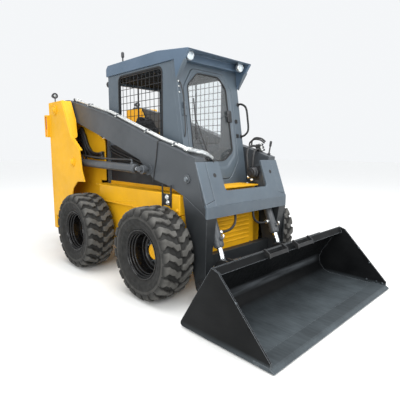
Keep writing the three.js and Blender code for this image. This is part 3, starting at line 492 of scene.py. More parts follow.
# Black enamel on frames, handles and brackets: satin.
blackEnamel = enamel("blackEnamel", "#151617", "#1c1d1f", "#4c4e52", 0.42, dust=0.14, dustColour="#55524c", shine=0.3)
# Gloss black enamel on the rims: bright rings of light.
glossEnamel = enamel("glossEnamel", "#09090a", "#0d0d0e", "#2c2d2f", 0.26, dust=0.06, dustColour="#4a463f", shine=0.35)


# Bucket enamel: near black inside, scoured front to back; towards the lip it greys and shines, partly from the
# scouring and partly as a painted reflection of the sky on the floor.
def makeBucketEnamel():
    material, tree, shader = newMaterial("scouredSheenEnamel", "#121314", 0.42, Specular_IOR_Level=0.08)
    place = addNode(tree, "ShaderNodeTexCoord").outputs["Object"]
    parts = addNode(tree, "ShaderNodeSeparateXYZ", {"Vector": place})
    towardsLip = addNode(tree, "ShaderNodeMapRange", {"From Min": 1.0, "From Max": 1.85, "To Min": 0.15, "To Max": 1.0,
            "Value": parts.outputs["X"]}).outputs["Result"]
    onFloor = addNode(tree, "ShaderNodeMapRange", {"From Min": 0.06, "From Max": 0.025, "To Min": 0.0, "To Max": 1.0,
            "Value": parts.outputs["Z"]}).outputs["Result"]
    stretched = addNode(tree, "ShaderNodeMapping", {"Scale": (0.12, 1.0, 1.0), "Vector": place}).outputs["Vector"]
    scratches = noiseRange(tree, stretched, 14, 0.7, 1.0, 8, (0.3, 0.7))  # scratches 14 mm apart, 120 mm long
    clouds = noiseRange(tree, place, 300, 0.65, 1.0, 4)
    # Grey towards the lip on the floor: real scouring in the scratches and clouds, and a painted sky reflection.
    scourAndSheen = towardsLip
    for other in (onFloor, scratches, clouds):
        scourAndSheen = addNode(tree, "ShaderNodeMath", {"operation": "MULTIPLY", 0: scourAndSheen, 1: other}).outputs[0]
    base = addNode(tree, "ShaderNodeMix", {"data_type": "RGBA", 0: noiseRange(tree, place, 220, 0.0, 1.0, 5),
            6: "#0d0e0f", 7: "#151617"}).outputs[2]
    base = addNode(tree, "ShaderNodeMix", {"data_type": "RGBA", 0: scourAndSheen, 6: base, 7: "#4c5357"}).outputs[2]
    # A painted highlight: a paler streak across the curve behind the floor, where the heel catches the light.
    across = addNode(tree, "ShaderNodeMath", {"operation": "ABSOLUTE", 0: parts.outputs["Y"]}).outputs[0]
    heelHighlight = addNode(tree, "ShaderNodeMapRange", {"From Min": 0.95, "From Max": 0.78, "To Min": 0.0, "To Max": 0.75,
            "Value": across}).outputs["Result"]
    for low, high in ((0.125, 0.165), (0.225, 0.180)):
        edge = addNode(tree, "ShaderNodeMapRange", {"From Min": low, "From Max": high, "To Min": 0.0, "To Max": 1.0,
                "Value": parts.outputs["Z"]}).outputs["Result"]
        heelHighlight = addNode(tree, "ShaderNodeMath", {"operation": "MULTIPLY", 0: heelHighlight, 1: edge}).outputs[0]
    sideways = addNode(tree, "ShaderNodeMapping", {"Scale": (1.0, 0.1, 1.0), "Vector": place}).outputs["Vector"]
    broken = noiseRange(tree, sideways, 30, 0.35, 1.0, 6)
    heelHighlight = addNode(tree, "ShaderNodeMath", {"operation": "MULTIPLY", 0: heelHighlight, 1: broken}).outputs[0]
    base = addNode(tree, "ShaderNodeMix", {"data_type": "RGBA", 0: heelHighlight, 6: base, 7: "#54585c"}).outputs[2]
    worn = addNode(tree, "ShaderNodeMath", {"operation": "MULTIPLY", 1: 0.8, 0: edgeMask(tree, 0.007)}).outputs[0]
    base = addNode(tree, "ShaderNodeMix", {"data_type": "RGBA", 0: worn, 6: base, 7: "#74797d"}).outputs[2]
    tree.links.new(base, shader.inputs["Base Color"])
    tree.links.new(noiseRange(tree, stretched, 20, 0.3, 0.5, 6), shader.inputs["Roughness"])
    bump = addNode(tree, "ShaderNodeBump", {"Strength": 0.15, "Distance": 0.002, "Height": scratches})
    tree.links.new(bump.outputs["Normal"], shader.inputs["Normal"])
    return material


bucketEnamel = makeBucketEnamel()


# Bare metal with a fine drawn or ground grain: brightness and gloss vary, and a bump catches the light.
def bareMetal(name, colour, darker, roughness, grain, stretch=(1, 1, 1), stain=0.4):
    material, tree, shader = newMaterial(name, colour, roughness, 1.0)
    place = addNode(tree, "ShaderNodeTexCoord").outputs["Object"]
    stretched = addNode(tree, "ShaderNodeMapping", {"Scale": stretch, "Vector": place}).outputs["Vector"]
    lines = noiseRange(tree, stretched, grain, 0.0, 1.0, 6)
    base = addNode(tree, "ShaderNodeMix", {"data_type": "RGBA", 0: noiseRange(tree, place, 45, 0.0, stain, 6),
            6: colour, 7: darker}).outputs[2]
    tree.links.new(base, shader.inputs["Base Color"])
    gloss = addNode(tree, "ShaderNodeMapRange", {"To Min": max(roughness - 0.08, 0.03), "To Max": roughness + 0.1,
            "Value": lines}).outputs["Result"]
    tree.links.new(gloss, shader.inputs["Roughness"])
    bump = addNode(tree, "ShaderNodeBump", {"Strength": 0.06, "Distance": 0.0006, "Height": lines})
    tree.links.new(bump.outputs["Normal"], shader.inputs["Normal"])
    return material


# Hard chrome on cylinder rods: nearly a mirror, with a light haze.
chromePlate = bareMetal("hardChrome", "#e4e7e9", "#b9bfc4", 0.1, 6, stain=0.3)
# Bright zinc plate on pipes, fittings and bolts: pale and softly mottled.
zincPlate = bareMetal("zincPlate", "#f0f1ef", "#c2c4c2", 0.34, 9, stain=0.5)
# Braided steel armour over hoses: woven wires about 2 mm wide that catch the light in grains.
braidedSteel = bareMetal("braidedSteel", "#c3c6c6", "#74787b", 0.42, 5, (1, 1, 1), 0.9)
# Ground and rubbed steel of the cutting edge, pins and brackets: grey and dull.
wornSteel = bareMetal("wornSteel", "#8b9297", "#4e5357", 0.38, 12, (0.15, 1, 1), 0.9)


# Tyre rubber: matt and dusty. The mark "wear" is 1 on the tread blocks' tops and 0 down in the grooves.
def makeTyreRubber():
    material, tree, shader = newMaterial("tyreRubber", "#2c2b2a", 0.8, IOR=1.5, Specular_IOR_Level=0.35)
    place = addNode(tree, "ShaderNodeTexCoord").outputs["Object"]
    wear = addNode(tree, "ShaderNodeAttribute", {"attribute_name": "wear"}).outputs["Fac"]
    patches = noiseRange(tree, place, 70, 0.0, 0.9, 7)  # dust in 70 mm patches
    side = addNode(tree, "ShaderNodeMix", {"data_type": "RGBA", 0: patches, 6: "#181817", 7: "#232322"}).outputs[2]
    top = addNode(tree, "ShaderNodeMix", {"data_type": "RGBA", 0: patches, 6: "#403f3c", 7: "#545350"}).outputs[2]
    base = addNode(tree, "ShaderNodeMix", {"data_type": "RGBA", 0: wear, 6: side, 7: top}).outputs[2]
    tree.links.new(base, shader.inputs["Base Color"])
    tree.links.new(noiseRange(tree, place, 40, 0.68, 0.92, 6), shader.inputs["Roughness"])
    grit = addNode(tree, "ShaderNodeTexNoise", {"Scale": 220.0, "Detail": 6.0, "Vector": place})  # 5 mm scuffs
    bump = addNode(tree, "ShaderNodeBump", {"Strength": 0.35, "Distance": 0.002, "Height": grit.outputs["Fac"]})
    tree.links.new(bump.outputs["Normal"], shader.inputs["Normal"])
    return material


tyreRubber = makeTyreRubber()


# A plain moulded or woven finish with fine lumps: hose rubber, seals, plastic, glass fibre.
def moulded(name, colour, second, roughness, lump, strength=0.2, **more):
    material, tree, shader = newMaterial(name, colour, roughness, **more)
    place = addNode(tree, "ShaderNodeTexCoord").outputs["Object"]
    base = addNode(tree, "ShaderNodeMix", {"data_type": "RGBA", 0: noiseRange(tree, place, 35, 0.0, 1.0, 6), 6: colour,
            7: second}).outputs[2]
    tree.links.new(base, shader.inputs["Base Color"])
    tree.links.new(noiseRange(tree, place, 50, roughness - 0.06, roughness + 0.08, 4), shader.inputs["Roughness"])
    noise = addNode(tree, "ShaderNodeTexNoise", {"Scale": 1000 / lump, "Detail": 3.0, "Vector": place})
    bump = addNode(tree, "ShaderNodeBump", {"Strength": strength, "Distance": 0.001, "Height": noise.outputs["Fac"]})
    tree.links.new(bump.outputs["Normal"], shader.inputs["Normal"])
    return material


hoseRubber = moulded("hoseRubber", "#151516", "#232324", 0.5, 4)  # wrapped rubber hose: dull with a soft sheen
sealRubber = moulded("sealRubber", "#101011", "#1a1a1b", 0.6, 5)  # extruded window seal: flat black
blackPlastic = moulded("mouldedPlastic", "#1c1d1f", "#26272a", 0.45, 2.5)  # grained ABS of grips and housings
amberLens = moulded("amberAcrylic", "#e8871c", "#f0962c", 0.12, 8, 0.1, Coat_Weight=0.5)  # ribbed acrylic
redLens = moulded("redAcrylic", "#a3201a", "#b62a20", 0.12, 8, 0.1, Coat_Weight=0.5)
dullGlass = moulded("dustyLampGlass", "#6f767a", "#8b9194", 0.15, 10, 0.1, Coat_Weight=0.8)  # glass under road dust
whiteLens = moulded("lampLens", "#98a4ac", "#c6cfd4", 0.1, 9, 0.5, Coat_Weight=0.8)  # bright fluted lamp glass


# Grained vinyl of the seat: pebbles about 3 mm across and a slight sheen.
def makeSeatVinyl():
    material, tree, shader = newMaterial("grainedVinyl", "#1f2022", 0.5, IOR=1.5, Sheen_Weight=0.15)
    place = addNode(tree, "ShaderNodeTexCoord").outputs["Object"]
    pebbles = addNode(tree, "ShaderNodeTexVoronoi", {"Scale": 320.0, "feature": "DISTANCE_TO_EDGE", "Vector": place})
    base = addNode(tree, "ShaderNodeMix", {"data_type": "RGBA", 0: noiseRange(tree, place, 80, 0.0, 1.0, 5),
            6: "#1c1d1f", 7: "#2a2b2d"}).outputs[2]
    tree.links.new(base, shader.inputs["Base Color"])
    tree.links.new(noiseRange(tree, place, 60, 0.42, 0.6, 4), shader.inputs["Roughness"])
    bump = addNode(tree, "ShaderNodeBump", {"Strength": 0.3, "Distance": 0.001, "Height": pebbles.outputs["Distance"]})
    tree.links.new(bump.outputs["Normal"], shader.inputs["Normal"])
    return material


seatVinyl = makeSeatVinyl()


# Laminated glass: clear, with a thin film of dust that veils what is behind it, and smears that dull it.
def makeGlass():
    material, tree, shader = newMaterial("laminatedGlass", "#eef3f5", 0.02, IOR=1.52, Transmission_Weight=0.975)
    place = addNode(tree, "ShaderNodeTexCoord").outputs["Object"]
    smears = noiseRange(tree, place, 160, 0.0, 0.07, 6)
    tree.links.new(smears, shader.inputs["Roughness"])
    return material


clearGlass = makeGlass()

yellow, slate, charcoal = (yellowEnamel, "yellow_paint"), (slateEnamel, "grey_paint"), (charcoalEnamel, "arm_paint")
armPaint, skyLitRoofPaint = (armEnamel, "arm_paint"), (skyLitRoofEnamel, "grey_paint")
black, gloss = (blackEnamel, "black_paint"), (glossEnamel, "gloss_black_paint")
scouredSheen, steel, chrome = (bucketEnamel, "black_paint"), (wornSteel, "worn_steel"), (chromePlate, "chrome")
braid = (braidedSteel, "worn_steel")
zinc, rubber, hoseSkin = (zincPlate, "worn_steel"), (tyreRubber, "tyre_rubber"), (hoseRubber, "hose_rubber")
seal, plastic, vinyl = (sealRubber, "hose_rubber"), (blackPlastic, "black_paint"), (seatVinyl, "dark_vinyl")
amber, red, lens = (amberLens, "lamp_red"), (redLens, "lamp_red"), (whiteLens, "lamp_white")
dullLens = (dullGlass, "lamp_white")
glass = (clearGlass, "clear_glass")
print("finishes made")

# Powers are in watts; the sky is a flat pale dome.
studio = {"sky": "#fafcfe", "skyStrength": 0.95, "top": 330, "front": 160, "side": 250}


def makeStudio():
    points = onPlane(np.array([[(x, y, 0.0) for y in (-40, 40)] for x in (-40, 40)]), "top")
    mesh = bpy.data.meshes.new("floor")
    mesh.from_pydata(points.reshape(-1, 3).tolist(), [], [(0, 1, 3, 2)])
    material, tree, shader = newMaterial("paleFloor", "#dcdcda", 0.9)
    place = addNode(tree, "ShaderNodeTexCoord").outputs["Object"]
    near = addNode(tree, "ShaderNodeMix", {"data_type": "RGBA", 0: noiseRange(tree, place, 900, 0.0, 1.0),
            6: "#dfdfdd", 7: "#d8d8d6"}).outputs[2]
    away = addNode(tree, "ShaderNodeVectorMath", {"operation": "LENGTH", 0: place}).outputs["Value"]
    # Paler further out, so that the floor fades into the sky.
    far = addNode(tree, "ShaderNodeMapRange", {"From Min": 2.2, "From Max": 6.0, "To Min": 0.0, "To Max": 1.0,
            "Value": away}).outputs["Result"]
    base = addNode(tree, "ShaderNodeMix", {"data_type": "RGBA", 0: far, 6: near, 7: "#fdfdfc"}).outputs[2]
    tree.links.new(base, shader.inputs["Base Color"])
    mesh.materials.append(material)
    floor = bpy.data.objects.new("floor", mesh)
    floor.data.update()
    scene.collection.objects.link(floor)
    world = bpy.data.worlds.new("studio")
    world.use_nodes = True
    world.node_tree.nodes["Background"].inputs["Color"].default_value = toLinear(studio["sky"])
    world.node_tree.nodes["Background"].inputs["Strength"].default_value = studio["skyStrength"]
    scene.world = world
    target = Vector((middle + 0.3, 0, 0.9))
    for name, spot, size, power in (
        ("topLight", (0.5, -0.5, 5.5), 5.0, studio["top"]),
        ("frontLight", (5.0, 0.5, 3.6), 3.5, studio["front"]),
        ("sideLight", (4.2, -5.4, 3.2), 3.5, studio["side"]),
    ):
        data = bpy.data.lights.new(name, "AREA")
        data.size = size
        data.energy = power
        light = bpy.data.objects.new(name, data)
        light.location = spot
        light.rotation_euler = (target - Vector(spot)).to_track_quat("-Z", "Y").to_euler()
        scene.collection.objects.link(light)


makeStudio()
print("studio made")

# Each lug runs from the shoulder to the middle; half widths and shifts follow it, in metres.
tyre = {"lugs": 22, "lugHeight": 0.0235, "shoulderHeight": 0.007, "treadRadius": 0.4, "outerArc": 0.176,
        "innerArc": 0.004, "along": (0, 0.20, 0.32, 0.48, 0.60, 0.78, 1.0), "half": (0.043, 0.041, 0.027, 0.025, 0.022,
        0.026, 0.021), "shift": (0, -0.002, 0.014, -0.010, -0.014, -0.050, -0.046)}
# Half of the tyre's outline from the middle of the tread to the bead, as (out from the middle, radius).
carcassHalf = [(0, 0.3915), (0.06, 0.3905), (0.105, 0.387), (0.130, 0.379), (0.143, 0.366), (0.1482, 0.3560),
               (0.1486, 0.352), (0.1524, 0.3475), (0.1527, 0.322), (0.1500, 0.317), (0.1505, 0.300), (0.1465, 0.276),
               (0.1475, 0.268), (0.139, 0.252), (0.129, 0.234), (0.1245, 0.226), (0.1195, 0.2228), (0.118, 0.2100)]


# The point of the half outline at an arc length from the tread's middle, with its outward normal.
def onCarcass(arc):
    curve = smoothPath(carcassHalf, 300)
    along = np.concatenate([[0], np.cumsum(np.linalg.norm(np.diff(curve, axis=0), axis=1))])
    ahead = np.gradient(curve, axis=0)
    ahead /= np.linalg.norm(ahead, axis=1)[:, None]
    return [np.interp(arc, along, values) for values in (curve[:, 0], curve[:, 1], -ahead[:, 1], ahead[:, 0])]


# Rises from 0 to 1 with flat ends: v * v * (3 - 2 * v).
def smoothStep(value):
    value = np.clip(value, 0, 1)
    return value * value * (3 - 2 * value)


# One side's tread blocks: each is a grid along the block and across it, laid on the carcass and raised off it.
# Height is the lesser of the along and across factors, so that the block has drafted walls and a flat top.
def treadBlocks(way, start):
    middleOf = [0.06, 0.13, 0.19, 0.21, 0.31, 0.33, 0.40, 0.47, 0.49, 0.59, 0.61, 0.70, 0.77, 0.79, 0.88, 0.94]
    s = np.concatenate([[-0.025, 0.0, 0.02], middleOf, [0.98, 1.0, 1.025]])
    rise = np.concatenate([[-0.2, 0.8, 1.0], np.ones(16), [1.0, 0.86, -0.2]])
    across = np.array([-1, -1, -1, -0.35, 0.35, 1, 1, 1])
    spread = np.array([-0.005, -0.001, 0.003, 0, 0, -0.003, 0.001, 0.005])
    crown = np.array([-0.2, 0.86, 1, 1.02, 1.02, 1, 0.86, -0.2])
    arc = tyre["outerArc"] + (tyre["innerArc"] - tyre["outerArc"]) * s
    u, r, normalU, normalR = onCarcass(arc)
    inside = np.clip(s, 0, 1)
    low = tyre["shoulderHeight"]
    high = low + (tyre["lugHeight"] - low) * smoothStep(inside / 0.32)
    width = np.interp(inside, tyre["along"], tyre["half"])
    shift = np.interp(inside, tyre["along"], tyre["shift"])
    lift = np.minimum(rise[:, None], crown[None]) * high[:, None]
    offset = shift[:, None] + across[None] * width[:, None] + spread[None]
    angle = start + np.arange(tyre["lugs"])[:, None, None] / tyre["lugs"] * 2 * math.pi + offset / tyre["treadRadius"]
    radius = np.broadcast_to(r[:, None] + lift * normalR[:, None], angle.shape)
    out = np.broadcast_to(way * (u[:, None] + lift * normalU[:, None]), angle.shape)
    points = np.stack([radius * np.cos(angle), out, radius * np.sin(angle)], -1)
    worn = np.broadcast_to(np.clip(lift / tyre["lugHeight"], 0, 1) ** 2, angle.shape)
    return joined(*[gridShape(grid, closedColumns=True, caps=True) for grid in points]), worn.ravel()


# The half outline and its mirror image turned about the axle, with blocks on both sides half a pitch apart.
def tyreShape():
    half = smoothPath(carcassHalf, 56)
    profile = np.concatenate([half[::-1] * (-1, 1), half[1:]])[:, ::-1]
    inner = np.array([(0.2102, 0.06), (0.2102, -0.06)])
    carcass = turnedLoop(np.concatenate([profile, inner]), (0, 0, 0), (0, 1, 0), 120)
    left, wornLeft = treadBlocks(1, 0.0)
    right, wornRight = treadBlocks(-1, math.pi / tyre["lugs"])
    radii = np.linalg.norm(carcass[0][:, (0, 2)], axis=1)
    # The tread's floor and the lower wall stay dark, and the upper wall is half as dusty as the blocks.
    dusty = np.where(radii > 0.357, 0.05, np.where(radii > 0.318, 0.42, 0.0))
    return joined(carcass, left, right), np.concatenate([dusty, wornLeft, wornRight])


rim = {"nuts": 8, "nutCircle": 0.103, "nut": 0.027}
# The rim's outline from the outer flange down its stepped dish to the bolt ring and back inside.
dish = [(0.2094, 0.1175), (0.2215, 0.1195), (0.2225, 0.1275), (0.2195, 0.1300), (0.2140, 0.1295), (0.2085, 0.1235),
        (0.2060, 0.1130), (0.2045, 0.1080), (0.1980, 0.1045), (0.1968, 0.0880), (0.1955, 0.0840), (0.1895, 0.0805),
        (0.1880, 0.0640), (0.1865, 0.0600), (0.1800, 0.0570), (0.1785, 0.0300), (0.1775, -0.0200), (0.1700, -0.0240),
        (0.1680, -0.0420), (0.1600, -0.0520), (0.1500, -0.0570), (0.1320, -0.0600), (0.0750, -0.0600),
        (0.0750, -0.0700), (0.1550, -0.0680), (0.1760, -0.0480), (0.1860, -0.0150), (0.1960, 0.0560), (0.2040, 0.0900),
        (0.2094, 0.1000)]
barrel = [(0.2094, 0.0990), (0.2030, 0.0900), (0.2030, -0.1080), (0.2050, -0.1200), (0.2140, -0.1290),
          (0.2210, -0.1285), (0.2225, -0.1220), (0.2210, -0.1190), (0.2094, -0.1175)]
hubFace = [(0, -0.0160), (0.0180, -0.0160), (0.0200, -0.0185), (0.0520, -0.0185), (0.0540, -0.0145), (0.0660, -0.0145),
           (0.0720, -0.0180), (0.0745, -0.0240), (0.0750, -0.0560), (0.0780, -0.0598), (0.0780, -0.0640),
           (0.0740, -0.0705), (0.0620, -0.0760), (0.0620, -0.1235), (0, -0.1235)]


def makeWheels():
    tread, worn = tyreShape()
    for end in ("front", "rear"):
        for side, way in sides:
            node, body = f"{end}_{side}", f"wheel_{end}_{side}"
            centre = cadBox("rim_" + node).mean(0)
            centre[0] -= middle
            centre[1] = way * 0.775
            out = np.array((0, way, 0), float)
            makePiece("tyre_" + node + "_treaded", body, rubber, (tread[0] + centre, tread[1]), ["tyre_" + node],
                      smooth=38, marks={"wear": worn})
            rings = joined(turnedLoop(dish, centre, out, 72), turnedLoop(barrel, centre, out, 72))
            makePiece("rim_" + node + "_dished", body, gloss, rings, ["rim_" + node], smooth=50)
            makePiece("hub_" + node, body, yellow, turned(hubFace, centre, out, 48), smooth=40)
            angle = (np.arange(rim["nuts"]) + 0.5) / rim["nuts"] * 2 * math.pi
            feet = centre + rim["nutCircle"] * np.stack([np.cos(angle), 0 * angle, np.sin(angle)], 1) - out * 0.060
            studs = repeated(roundBar((0, 0, 0), out * 0.034, 0.0085, 10), feet)
            makePiece("nuts_" + node, body, steel, joined(bolts(feet, out, rim["nut"]), studs), smooth=30)
            stem = centre + [(0.196, way * 0.075, 0.03), (0.186, way * 0.082, 0.03), (0.176, way * 0.098, 0.028)]
            makePiece("valve_" + node, body, zinc, hose(stem, 0.0045, 10, 8), smooth=60)


makeWheels()
print("wheels made")

# How far out each yellow face stands, and the ribs on the nose.
chassis = {"fenderFace": 0.590, "noseFace": 0.880, "towerFace": 0.7253, "ribs": 7}


def makeChassis():
    dressed("main_frame", yellow, 0.004)
    for side in ("left", "right"):
        dressed("fender_" + side, yellow, 0.010)
        dressed("upright_" + side, yellow, 0.004)
    dressed("frame_hose", hoseSkin, 0, 60)
    dressed("rear_bumper", yellow, 0.008)
    dressed("engine_block", black, 0.010)
    dressed("engine_cover", yellow, 0.006)
    dressed("rear_door", yellow, 0.005)
    # Rolled ribs across the nose plate: half-round strips, one above another.
    heights = np.linspace(0.425, 0.690, chassis["ribs"])
    arch = np.linspace(0, math.pi, 9)
    rib = np.stack([0.007 * np.sin(arch), 0.010 * np.cos(arch)], 1)
    strip = np.stack([[(chassis["noseFace"] + a, y, b) for a, b in rib] for y in np.linspace(-0.285, 0.285, 3)])
    makePiece("nose_ribs", "chassis", yellow, repeated(gridShape(strip, closedColumns=True, caps=True),
              [(0, 0, z) for z in heights]))
    makePiece("nose_bolts", "chassis", steel,
              bolts([(chassis["noseFace"], y, z) for y in (-0.31, 0.31) for z in (0.36, 0.74)], (1, 0, 0), 0.018))
    # Black bracket with two straps on the right fender, over the front tyre.
    face = -chassis["fenderFace"]
    straps = [block((x, x + 0.018), (face - 0.010, face), (0.80, 1.005), 0.002) for x in (0.552, 0.672)]
    middlePlate = block((0.570, 0.672), (face - 0.005, face), (0.815, 0.925), 0.002)
    makePiece("fender_bracket", "chassis", black, joined(middlePlate, *straps))
    makePiece("fender_bracket_bolts", "chassis", zinc,
              bolts([(0.628, face - 0.005, 0.893), (0.640, face - 0.005, 0.843)], (0, -1, 0), 0.024))
    makePiece("fender_bolts", "chassis", yellow, bothSides(bolts([(0.762, face, 0.782)], (0, -1, 0), 0.022)))
    bend = [(-0.356, face + 0.001, 0.752), (-0.09, face + 0.001, 0.780), (0.172, face + 0.001, 0.810)]
    makePiece("fender_creases", "chassis", yellow, bothSides(hose(bend, 0.0035, 40, 8)), smooth=60)
    # A folded lip along the lower edge of each fender.
    lip = plate([(-0.600, 0.7365), (0.792, 0.7365), (0.792, 0.750), (-0.600, 0.750)], face - 0.008, face, "side",
                0.003)
    makePiece("fender_lips", "chassis", yellow, bothSides(lip))
    # Black skirts on the cab's lower sides, partly the dark lower cab and partly painted shade under the arms, with a
    # pair of hoses clipped to each.
    shadeSkirt = plate([(-0.600, 0.962), (0.560, 0.962), (0.545, 1.060), (0.480, 1.365), (-0.600, 1.365)],
                  -0.4345, -0.4305, "side", 0.0015)
    makePiece("cab_shade_skirts", "chassis", black, bothSides(shadeSkirt))
    lines = [hose([(-0.600, -0.447, 1.345 - d), (-0.45, -0.449, 1.295 - d), (-0.10, -0.449, 1.215 - d),
                   (0.18, -0.449, 1.150 - d), (0.42, -0.447, 1.010 - d)], 0.0095, 50) for d in (0, 0.030)]
    makePiece("skirt_hoses", "chassis", hoseSkin, bothSides(joined(*lines)), smooth=60)


# Domed pin caps, front closing strips, top caps and the hoses in the slot of each upright.
def makeTowerDetails():
    face = -chassis["towerFace"] - 0.012
    dome = np.linspace(0, math.pi / 2, 6)
    caps = []
    for x, z, radius in ((-1.420, 1.800, 0.036), (-0.980, 1.165, 0.038)):
        cap = np.stack([radius * np.cos(dome), 0.004 + 0.014 * np.sin(dome)], 1)
        caps.append(turned([(0, 0), (radius, 0), *cap.tolist()[:-1], (0, 0.018)], (x, face, z), (0, -1, 0), 28))
    caps.append(turned([(0, 0), (0.019, 0), (0.019, 0.004), (0.013, 0.006), (0, 0.006)], (-1.517, face + 0.012, 1.872),
                       (0, -1, 0), 24))
    makePiece("tower_pin_caps", "chassis", yellow, bothSides(joined(*caps)))
    # The strip that closes the front of the outer plate: a flat bar carried down the sloping edge.
    edge = np.array([(-1.2300, 1.9000), (-1.1150, 1.6750), (-1.0100, 1.4695), (-0.9960, 1.4470)])
    out = np.array((0.891, 0.454))
    inner = np.array([-0.600, -0.600, -0.640, -0.668])
    rows = []
    for (x, z), w in zip(edge, inner):
        bar = ((-0.7256, -0.010), (-0.7256, 0.001), (-0.7180, 0.004), (w, 0.004), (w, -0.010))
        rows.append([(x + out[0] * d, y, z + out[1] * d) for y, d in bar])
    strip = gridShape(np.array(rows), closedColumns=True, caps=True)
    top = block((-1.6000, -1.2260), (-0.7255, -0.5960), (1.8905, 1.9000), 0.003)
    makePiece("tower_front_strips", "chassis", yellow, bothSides(joined(strip, top)), smooth=30)
    # Two thick hoses rise out of the slot and run down to the inner plate's foot, over a black plate that paints the
    # shade in the slot's opening.
    opening = [(-1.395, 1.250), (-1.390, 1.520), (-1.330, 1.592), (-1.225, 1.600), (-1.160, 1.510), (-1.085, 1.375),
               (-0.985, 1.285), (-0.990, 1.240)]
    makePiece("slot_shade_plate", "chassis", seal,
              bothSides(plate(roundedOutline(opening, 0.035), -0.4538, -0.4528, "side")))
    route = [(-1.310, 1.430), (-1.290, 1.530), (-1.225, 1.560), (-1.150, 1.480), (-1.072, 1.345), (-0.965, 1.262),
             (-0.840, 1.240), (-0.760, 1.246)]
    depth = np.array([-0.462, -0.478, -0.486, -0.488, -0.488, -0.486, -0.482, -0.468])
    middleLine = np.array([(x, y, z) for (x, z), y in zip(route, depth)])
    aside = np.array([(0.010, 0, 0.012), (0.012, 0, -0.010), (0.016, 0, 0.016), (0.020, 0, 0.012), (0.018, 0, 0.016),
                      (0.006, 0, 0.022), (0.0, 0, 0.024), (0.0, 0, 0.024)])
    pair = joined(hose(middleLine - aside, 0.0195, 70, 16), hose(middleLine + aside * 0.9, 0.0195, 70, 16))
    makePiece("slot_hoses", "chassis", hoseSkin, bothSides(pair), smooth=60)
    ends = [fitting((-0.772, -0.470, 1.246 + d), (1, 0.05, 0), 0.018, 0.060) for d in (-0.024, 0.022)]
    makePiece("slot_hose_ends", "chassis", steel, bothSides(joined(*ends)))
    weld = hose([(-1.585, -0.7255, 0.475), (-1.585, -0.7255, 1.10), (-1.585, -0.7255, 1.885)], 0.0035, 60, 8)
    makePiece("tower_welds", "chassis", yellow, bothSides(weld), smooth=60)


def makeLights():
    for side, way in sides:
        low, high = cadBox("tail_light_" + side)
        low[0] -= middle
        high[0] -= middle
        outer, inner = (low[1], high[1]) if way < 0 else (high[1], low[1])
        case = roundRect(low[0], high[0], low[2], high[2], 0.012)
        window = roundRect(low[0] + 0.014, high[0] - 0.012, low[2] + 0.020, high[2] - 0.020, 0.008)
        depth = sorted((outer, inner))
        makePiece("tail_case_" + side, "chassis", yellow, ring(case, window, *depth), ["tail_light_" + side], 0.0015)
        thirds = np.linspace(low[2] + 0.020, high[2] - 0.020, 4)
        for finish, name, a, b in ((red, "stop", thirds[1], thirds[3]), (amber, "turn", thirds[0], thirds[1])):
            shape = plate(roundRect(low[0] + 0.0145, high[0] - 0.0125, a, b, 0.004), depth[0] + 0.008,
                          depth[1] - 0.008, "side", 0.003)
            makePiece(f"tail_{name}_{side}", "chassis", finish, shape)
        low, high = cadBox("rear_lamp_" + side)
        x, y, z = low[0] - middle, (low[1] + high[1]) / 2, high[2] - 0.045
        bowl = [(0, -0.028), (0.014, -0.028), (0.022, -0.020), (0.035, 0.026), (0.037, 0.042), (0.036, 0.0545),
                (0.022, 0.055), (0.0185, 0.050), (0, 0.048)]
        stem = roundBar((x + 0.044, y, low[2]), (x + 0.044, y, z - 0.030), 0.007, 12)
        foot = turned([(0, 0), (0.020, 0), (0.020, 0.004), (0.010, 0.008), (0, 0.008)], (x + 0.044, y, low[2]),
                      (0, 0, 1), 20)
        case = joined(turned(bowl, (x, y, z), (1, 0, 0), 32), stem, foot)
        makePiece("rear_lamp_case_" + side, "chassis", plastic, case, ["rear_lamp_" + side])
        glassFace = [(0, 0.0545), (0.010, 0.0540), (0.0185, 0.0520), (0.0185, 0.0490), (0, 0.0490)]
        makePiece("rear_lamp_lens_" + side, "chassis", dullLens, turned(glassFace, (x, y, z), (1, 0, 0), 32))


grille = {"pitch": 0.042, "half": 0.425, "bars": (-0.28, 0, 0.28)}
louvres = {"count": 8, "pitch": 0.05, "first": -1.42, "half": 0.09, "aside": 0.26}


# The rear door's grille of slanted slats behind three bars, its handle, and two rows of louvres on the engine cover.
def makeRearDetails():
    low, high = cadBox("rear_door")
    x = low[0] - middle
    heights = np.arange(low[2] + 0.085, high[2] - 0.08, grille["pitch"])
    section = [(x + 0.002, -0.012), (x + 0.004, -0.014), (x + 0.013, 0.010), (x + 0.011, 0.012)]
    slat = plate(section, -grille["half"], grille["half"], "side")
    makePiece("rear_grille", "rear_gate", black, repeated(slat, [(0, 0, z) for z in heights]))
    bars = [block((x + 0.001, x + 0.005), (y - 0.008, y + 0.008), (low[2] + 0.062, high[2] - 0.062), 0.001)
            for y in grille["bars"]]
    makePiece("rear_grille_bars", "rear_gate", yellow, joined(*bars))
    grip = hose([(x + 0.001, -0.455, 0.90), (x - 0.002, -0.455, 0.91), (x - 0.004, -0.455, 0.96),
                 (x - 0.002, -0.455, 1.01), (x + 0.001, -0.455, 1.02)], 0.006, 24, 10)
    makePiece("rear_handle", "rear_gate", plastic, grip, smooth=60)
    low, high = cadBox("engine_cover")
    arch = np.linspace(0, math.pi, 7)
    hood = np.stack([0.016 * np.cos(arch), 0.009 * np.sin(arch)], 1)
    half = louvres["half"]
    rows = np.stack([[(a, y, b * math.sqrt(max(1 - (y / half) ** 4, 0.02))) for a, b in hood]
                     for y in np.linspace(-half, half, 13)])
    louvre = gridShape(rows + (louvres["first"], 0, high[2]), closedColumns=True, caps=True)
    places = [(louvres["pitch"] * i, way * louvres["aside"], 0) for i in range(louvres["count"]) for way in (-1, 1)]
    makePiece("cover_louvres", "engine_lid", yellow, repeated(louvre, places))


makeChassis()
makeTowerDetails()
makeLights()
makeRearDetails()
print("chassis made")

cab = {"rear": -0.620, "floor": 0.9573, "ceiling": 2.1297, "leafRound": 0.045, "glassRound": 0.040}
